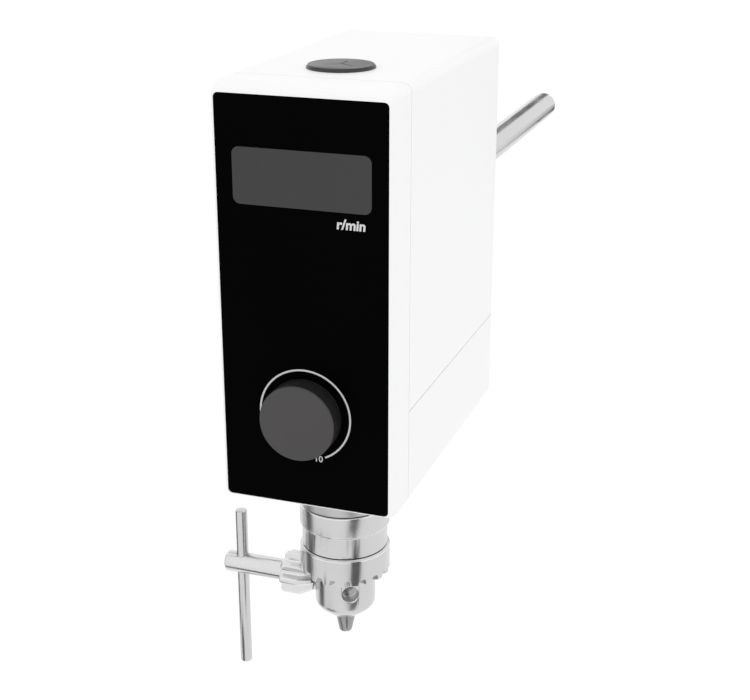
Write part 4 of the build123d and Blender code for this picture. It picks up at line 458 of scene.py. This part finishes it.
def printed_word(name, words, height, x, z, weight, slant=0.0):
    """Printed letters on the panel, centred on a point."""
    type_set = bpy.data.curves.new(name, "FONT")
    type_set.body = words
    type_set.size = height / LETTER_RISE
    type_set.align_x = "CENTER"
    type_set.align_y = "CENTER"
    type_set.shear = slant
    type_set.offset = weight
    type_set.extrude = INK_THICKNESS / 2
    holder = bpy.data.objects.new(name + "_type", type_set)
    bpy.context.scene.collection.objects.link(holder)
    bpy.context.view_layer.update()
    outline = bpy.data.meshes.new_from_object(holder.evaluated_get(bpy.context.evaluated_depsgraph_get()))
    bpy.data.objects.remove(holder)
    letters = bmesh.new()
    letters.from_mesh(outline)
    bpy.data.meshes.remove(outline)
    bmesh.ops.remove_doubles(letters, verts=letters.verts, dist=LETTER_MERGE)
    upright = Matrix.Translation((x, panel_low.y - INK_THICKNESS / 2, z)) @ Matrix.Rotation(pi / 2, 4, "X")
    bmesh.ops.transform(letters, matrix=upright, verts=letters.verts)
    bmesh.ops.recalc_face_normals(letters, faces=letters.faces)
    new_piece(name, letters, "stirrer", "panel_black", ink_white)


number_drop = RING_RADIUS * cos(radians(NUMBER_TURN))
number_side = RING_RADIUS * sin(radians(NUMBER_TURN))
printed_word("scale_start", "0", NUMBER_HEIGHT, DIAL_X - number_side, DIAL_Z - number_drop, NUMBER_WEIGHT)
printed_word("scale_end", "10", NUMBER_HEIGHT, DIAL_X + number_side, DIAL_Z - number_drop, NUMBER_WEIGHT)
printed_word("unit_sign", "r/min", UNIT_HEIGHT, UNIT_X, UNIT_Z, UNIT_WEIGHT, UNIT_SLANT)

# Speed knob: a dark plastic cap with a soft edge, a fine groove behind its face and a
# smooth skirt, pushed on the flattened shaft of the potentiometer.
# The cap is one dark plastic. Its face is drawn in a lighter grey as painted light, and its groove and skirt in a
# darker grey as painted shade.
KNOB_LIT_GREY = (0.070, 0.067, 0.069)
KNOB_SHADED_GREY = (0.014, 0.013, 0.014)
KNOB_RADIUS = 0.0174
KNOB_EDGE = 0.0009
KNOB_GROOVE = 0.0004
KNOB_GROOVE_BACK = 0.0018
KNOB_SHELL = 0.002
KNOB_WEB = 0.0024
KNOB_BREAK = 0.0001
EDGE_SHOULDER = 0.3
TURN_STEPS = 128
TURN_MERGE = 0.000002


def turned_piece(outline, centre, axis):
    """Body spun about an upright or fore-and-aft axis from its (radius, along) corners."""
    shape = bmesh.new()
    across = Vector((1.0, 0.0, 0.0))
    corners = [shape.verts.new(Vector(centre) + across * radius + Vector(axis) * step) for radius, step in outline]
    for first, second in zip(corners, corners[1:]):
        shape.edges.new((first, second))
    bmesh.ops.spin(shape, geom=shape.verts[:] + shape.edges[:], cent=centre, axis=axis,
                   angle=2 * pi, steps=TURN_STEPS, use_merge=True)
    bmesh.ops.remove_doubles(shape, verts=shape.verts, dist=TURN_MERGE)
    bmesh.ops.recalc_face_normals(shape, faces=shape.faces)
    return shape


knob_face_painted_light = finish("knob_face_painted_light", KNOB_LIT_GREY, 0.55, grain=2600.0, clouds=30.0, tone=0.04, relief=0.12,
                   depth=0.00003, specular=0.1)
knob_side_painted_shade = finish("knob_side_painted_shade", KNOB_SHADED_GREY, 0.4, grain=2600.0, clouds=30.0, tone=0.08, relief=0.12,
                   depth=0.00003, specular=0.15)
knob_shoulder = EDGE_SHOULDER * KNOB_EDGE
knob_groove_front = KNOB_GROOVE_BACK - KNOB_GROOVE
knob = turned_piece(((0.0, 0.0), (KNOB_RADIUS - KNOB_EDGE, 0.0), (KNOB_RADIUS - knob_shoulder, knob_shoulder),
                     (KNOB_RADIUS, KNOB_EDGE), (KNOB_RADIUS, knob_groove_front),
                     (KNOB_RADIUS - KNOB_GROOVE, knob_groove_front),
                     (KNOB_RADIUS - KNOB_GROOVE, KNOB_GROOVE_BACK), (KNOB_RADIUS, KNOB_GROOVE_BACK),
                     (KNOB_RADIUS, knob_size.y), (KNOB_RADIUS - KNOB_SHELL, knob_size.y),
                     (KNOB_RADIUS - KNOB_SHELL, KNOB_WEB), (0.0, KNOB_WEB)),
                    (DIAL_X, knob_low.y, DIAL_Z), (0.0, 1.0, 0.0))
# The front of the cap takes the painted-light grey; the groove and skirt take the painted-shade grey.
for face in knob.faces:
    deep = face.calc_center_median().y - knob_low.y
    face.material_index = 0 if deep < knob_groove_front else 1
knob_piece = new_piece("knob_cap", knob, "knob", "knob_grey", knob_face_painted_light, "speed_knob")
knob_piece.data.materials.append(knob_side_painted_shade)
soften(knob_piece, KNOB_BREAK)

# Shaft cap: a moulded rubber plug in the cup above the hollow spindle, with three slits
# that a long stirring shaft can pass.
CAP_GREY = (0.032, 0.032, 0.033)
FINE_BREAK = 0.00012

cap_rubber = finish("cap_rubber", CAP_GREY, 0.38, grain=2400.0, clouds=30.0, tone=0.08, relief=0.12)
soften(new_piece("slit_cap", merged_copy("shaft_cap"), "stirrer", "cap_rubber", cap_rubber, "shaft_cap"),
       FINE_BREAK)

# Support rod: ground and polished steel bar with a chamfered end; its turned-down seat is
# clamped in the boss of the rear frame.
ROD_RADIUS = 0.008
ROD_CHAMFER = 0.0012
ROD_SEAT_RADIUS = 0.007
SMALL_BREAK = 0.00015

rod_steel = finish("rod_steel", (0.56, 0.56, 0.56), 0.22, 1.0, grain=220.0, stretch=(1.0, 30.0, 1.0), relief=0.12,
                   tone=0.04)
# The next material makes the chamfers and edge rounds of the steel parts brighter than the steel. That brighter
# colour is a painted highlight; its low roughness is a real polish.
painted_edge_highlight = finish("painted_edge_highlight", (0.86, 0.86, 0.86), 0.16, 1.0, grain=600.0, relief=0.05, tone=0.02)
rod_size, rod_middle, rod_low = box_of("support_rod")
rod_end = rod_low.y + rod_size.y
rod = turned_piece(((0.0, rod_low.y), (ROD_SEAT_RADIUS, rod_low.y), (ROD_SEAT_RADIUS, 0.0), (ROD_RADIUS, 0.0),
                    (ROD_RADIUS, rod_end - ROD_CHAMFER), (ROD_RADIUS - ROD_CHAMFER, rod_end),
                    (0.0, rod_end)), (rod_middle.x, 0.0, rod_middle.z), (0.0, 1.0, 0.0))
# The rod's chamfer and edge rounds take the painted highlight.
soften(new_piece("steel_rod", rod, "stirrer", "rod_steel", rod_steel, "support_rod"), SMALL_BREAK,
       edge_material=painted_edge_highlight)

# Bearing nose: a turned aluminium housing that drops through the base and carries the
# lower bearing; a fine running gap parts it from the chuck.
nose_aluminium = finish("nose_aluminium", (0.50, 0.50, 0.51), 0.32, 1.0, grain=260.0,
                        stretch=(1.0, 1.0, 40.0), relief=0.2, tone=0.04)
soften(new_piece("bearing_nose", merged_copy("bearing_housing"), "stirrer", "turned_aluminium",
                 nose_aluminium, "bearing_housing"), SMALL_BREAK)

# Mains inlet and rocker switch: black moulded frames pushed into the rear wall, with a
# glossy, dished rocker that tips in the switch frame.
rocker_gloss = finish("rocker_gloss", (0.018, 0.018, 0.02), 0.15, grain=1500.0, relief=0.05, tone=0.1)
soften(new_piece("inlet_body", merged_copy("power_inlet"), "stirrer", "black_plastic", black_plastic,
                 "power_inlet"), SMALL_BREAK)
soften(new_piece("switch_body", merged_copy("switch_frame"), "stirrer", "black_plastic", black_plastic,
                 "switch_frame"), SMALL_BREAK)
soften(new_piece("rocker_cap", merged_copy("power_rocker"), "rocker", "rocker_black", rocker_gloss,
                 "power_rocker"), FINE_BREAK)

# Chuck: turned, hardened and polished steel. Body with collar, neck and nose, a sleeve with
# bevel teeth, the split nut inside it, and three ground jaws.
CHUCK_BREAK = 0.00018

chuck_steel = finish("chuck_steel", (0.60, 0.60, 0.60), 0.26, 1.0, grain=240.0, stretch=(1.0, 1.0, 40.0),
                     spread=0.03, relief=0.05, tone=0.03)
jaw_steel = finish("jaw_steel", (0.33, 0.33, 0.335), 0.30, 1.0, grain=260.0, stretch=(20.0, 20.0, 1.0),
                   relief=0.15, tone=0.05)
# The edge rounds of the chuck barrel and sleeve take the painted highlight.
soften(new_piece("chuck_barrel", merged_copy("chuck_body"), "spindle", "chuck_steel", chuck_steel, "chuck_body"),
       CHUCK_BREAK, edge_material=painted_edge_highlight)
soften(new_piece("toothed_sleeve", merged_copy("chuck_sleeve"), "sleeve", "chuck_steel", chuck_steel,
                 "chuck_sleeve"), SMALL_BREAK, edge_material=painted_edge_highlight)
dress(turned_steel, "split_nut")
for number in (1, 2, 3):
    jaw_name = f"jaw_{number}"
    soften(new_piece(f"ground_jaw_{number}", merged_copy(jaw_name), jaw_name, "jaw_steel", jaw_steel, jaw_name),
           FINE_BREAK)

# Chuck key: a forged steel key with bevel teeth and a pilot, and a sliding tommy bar with
# rounded ends pushed through its shank.
BAR_RADIUS = 0.003
BAR_ROUND = 0.0007

key_steel = finish("key_steel", (0.68, 0.68, 0.68), 0.25, 1.0, grain=240.0, stretch=(30.0, 1.0, 1.0), relief=0.1,
                   tone=0.03)
# The key's edge rounds take the painted highlight.
soften(new_piece("toothed_key", merged_copy("chuck_key"), "key", "chuck_steel", key_steel, "chuck_key"),
       CHUCK_BREAK, edge_material=painted_edge_highlight)
bar_size, bar_middle, bar_low = box_of("tommy_bar")
bar_shoulder = EDGE_SHOULDER * BAR_ROUND
bar = turned_piece(((0.0, 0.0), (BAR_RADIUS - BAR_ROUND, 0.0), (BAR_RADIUS - bar_shoulder, bar_shoulder),
                    (BAR_RADIUS, BAR_ROUND), (BAR_RADIUS, bar_size.z - BAR_ROUND),
                    (BAR_RADIUS - bar_shoulder, bar_size.z - bar_shoulder),
                    (BAR_RADIUS - BAR_ROUND, bar_size.z), (0.0, bar_size.z)),
                   (bar_middle.x, bar_middle.y, bar_low.z), (0.0, 0.0, 1.0))
new_piece("sliding_bar", bar, "bar", "chuck_steel", chuck_steel, "tommy_bar")
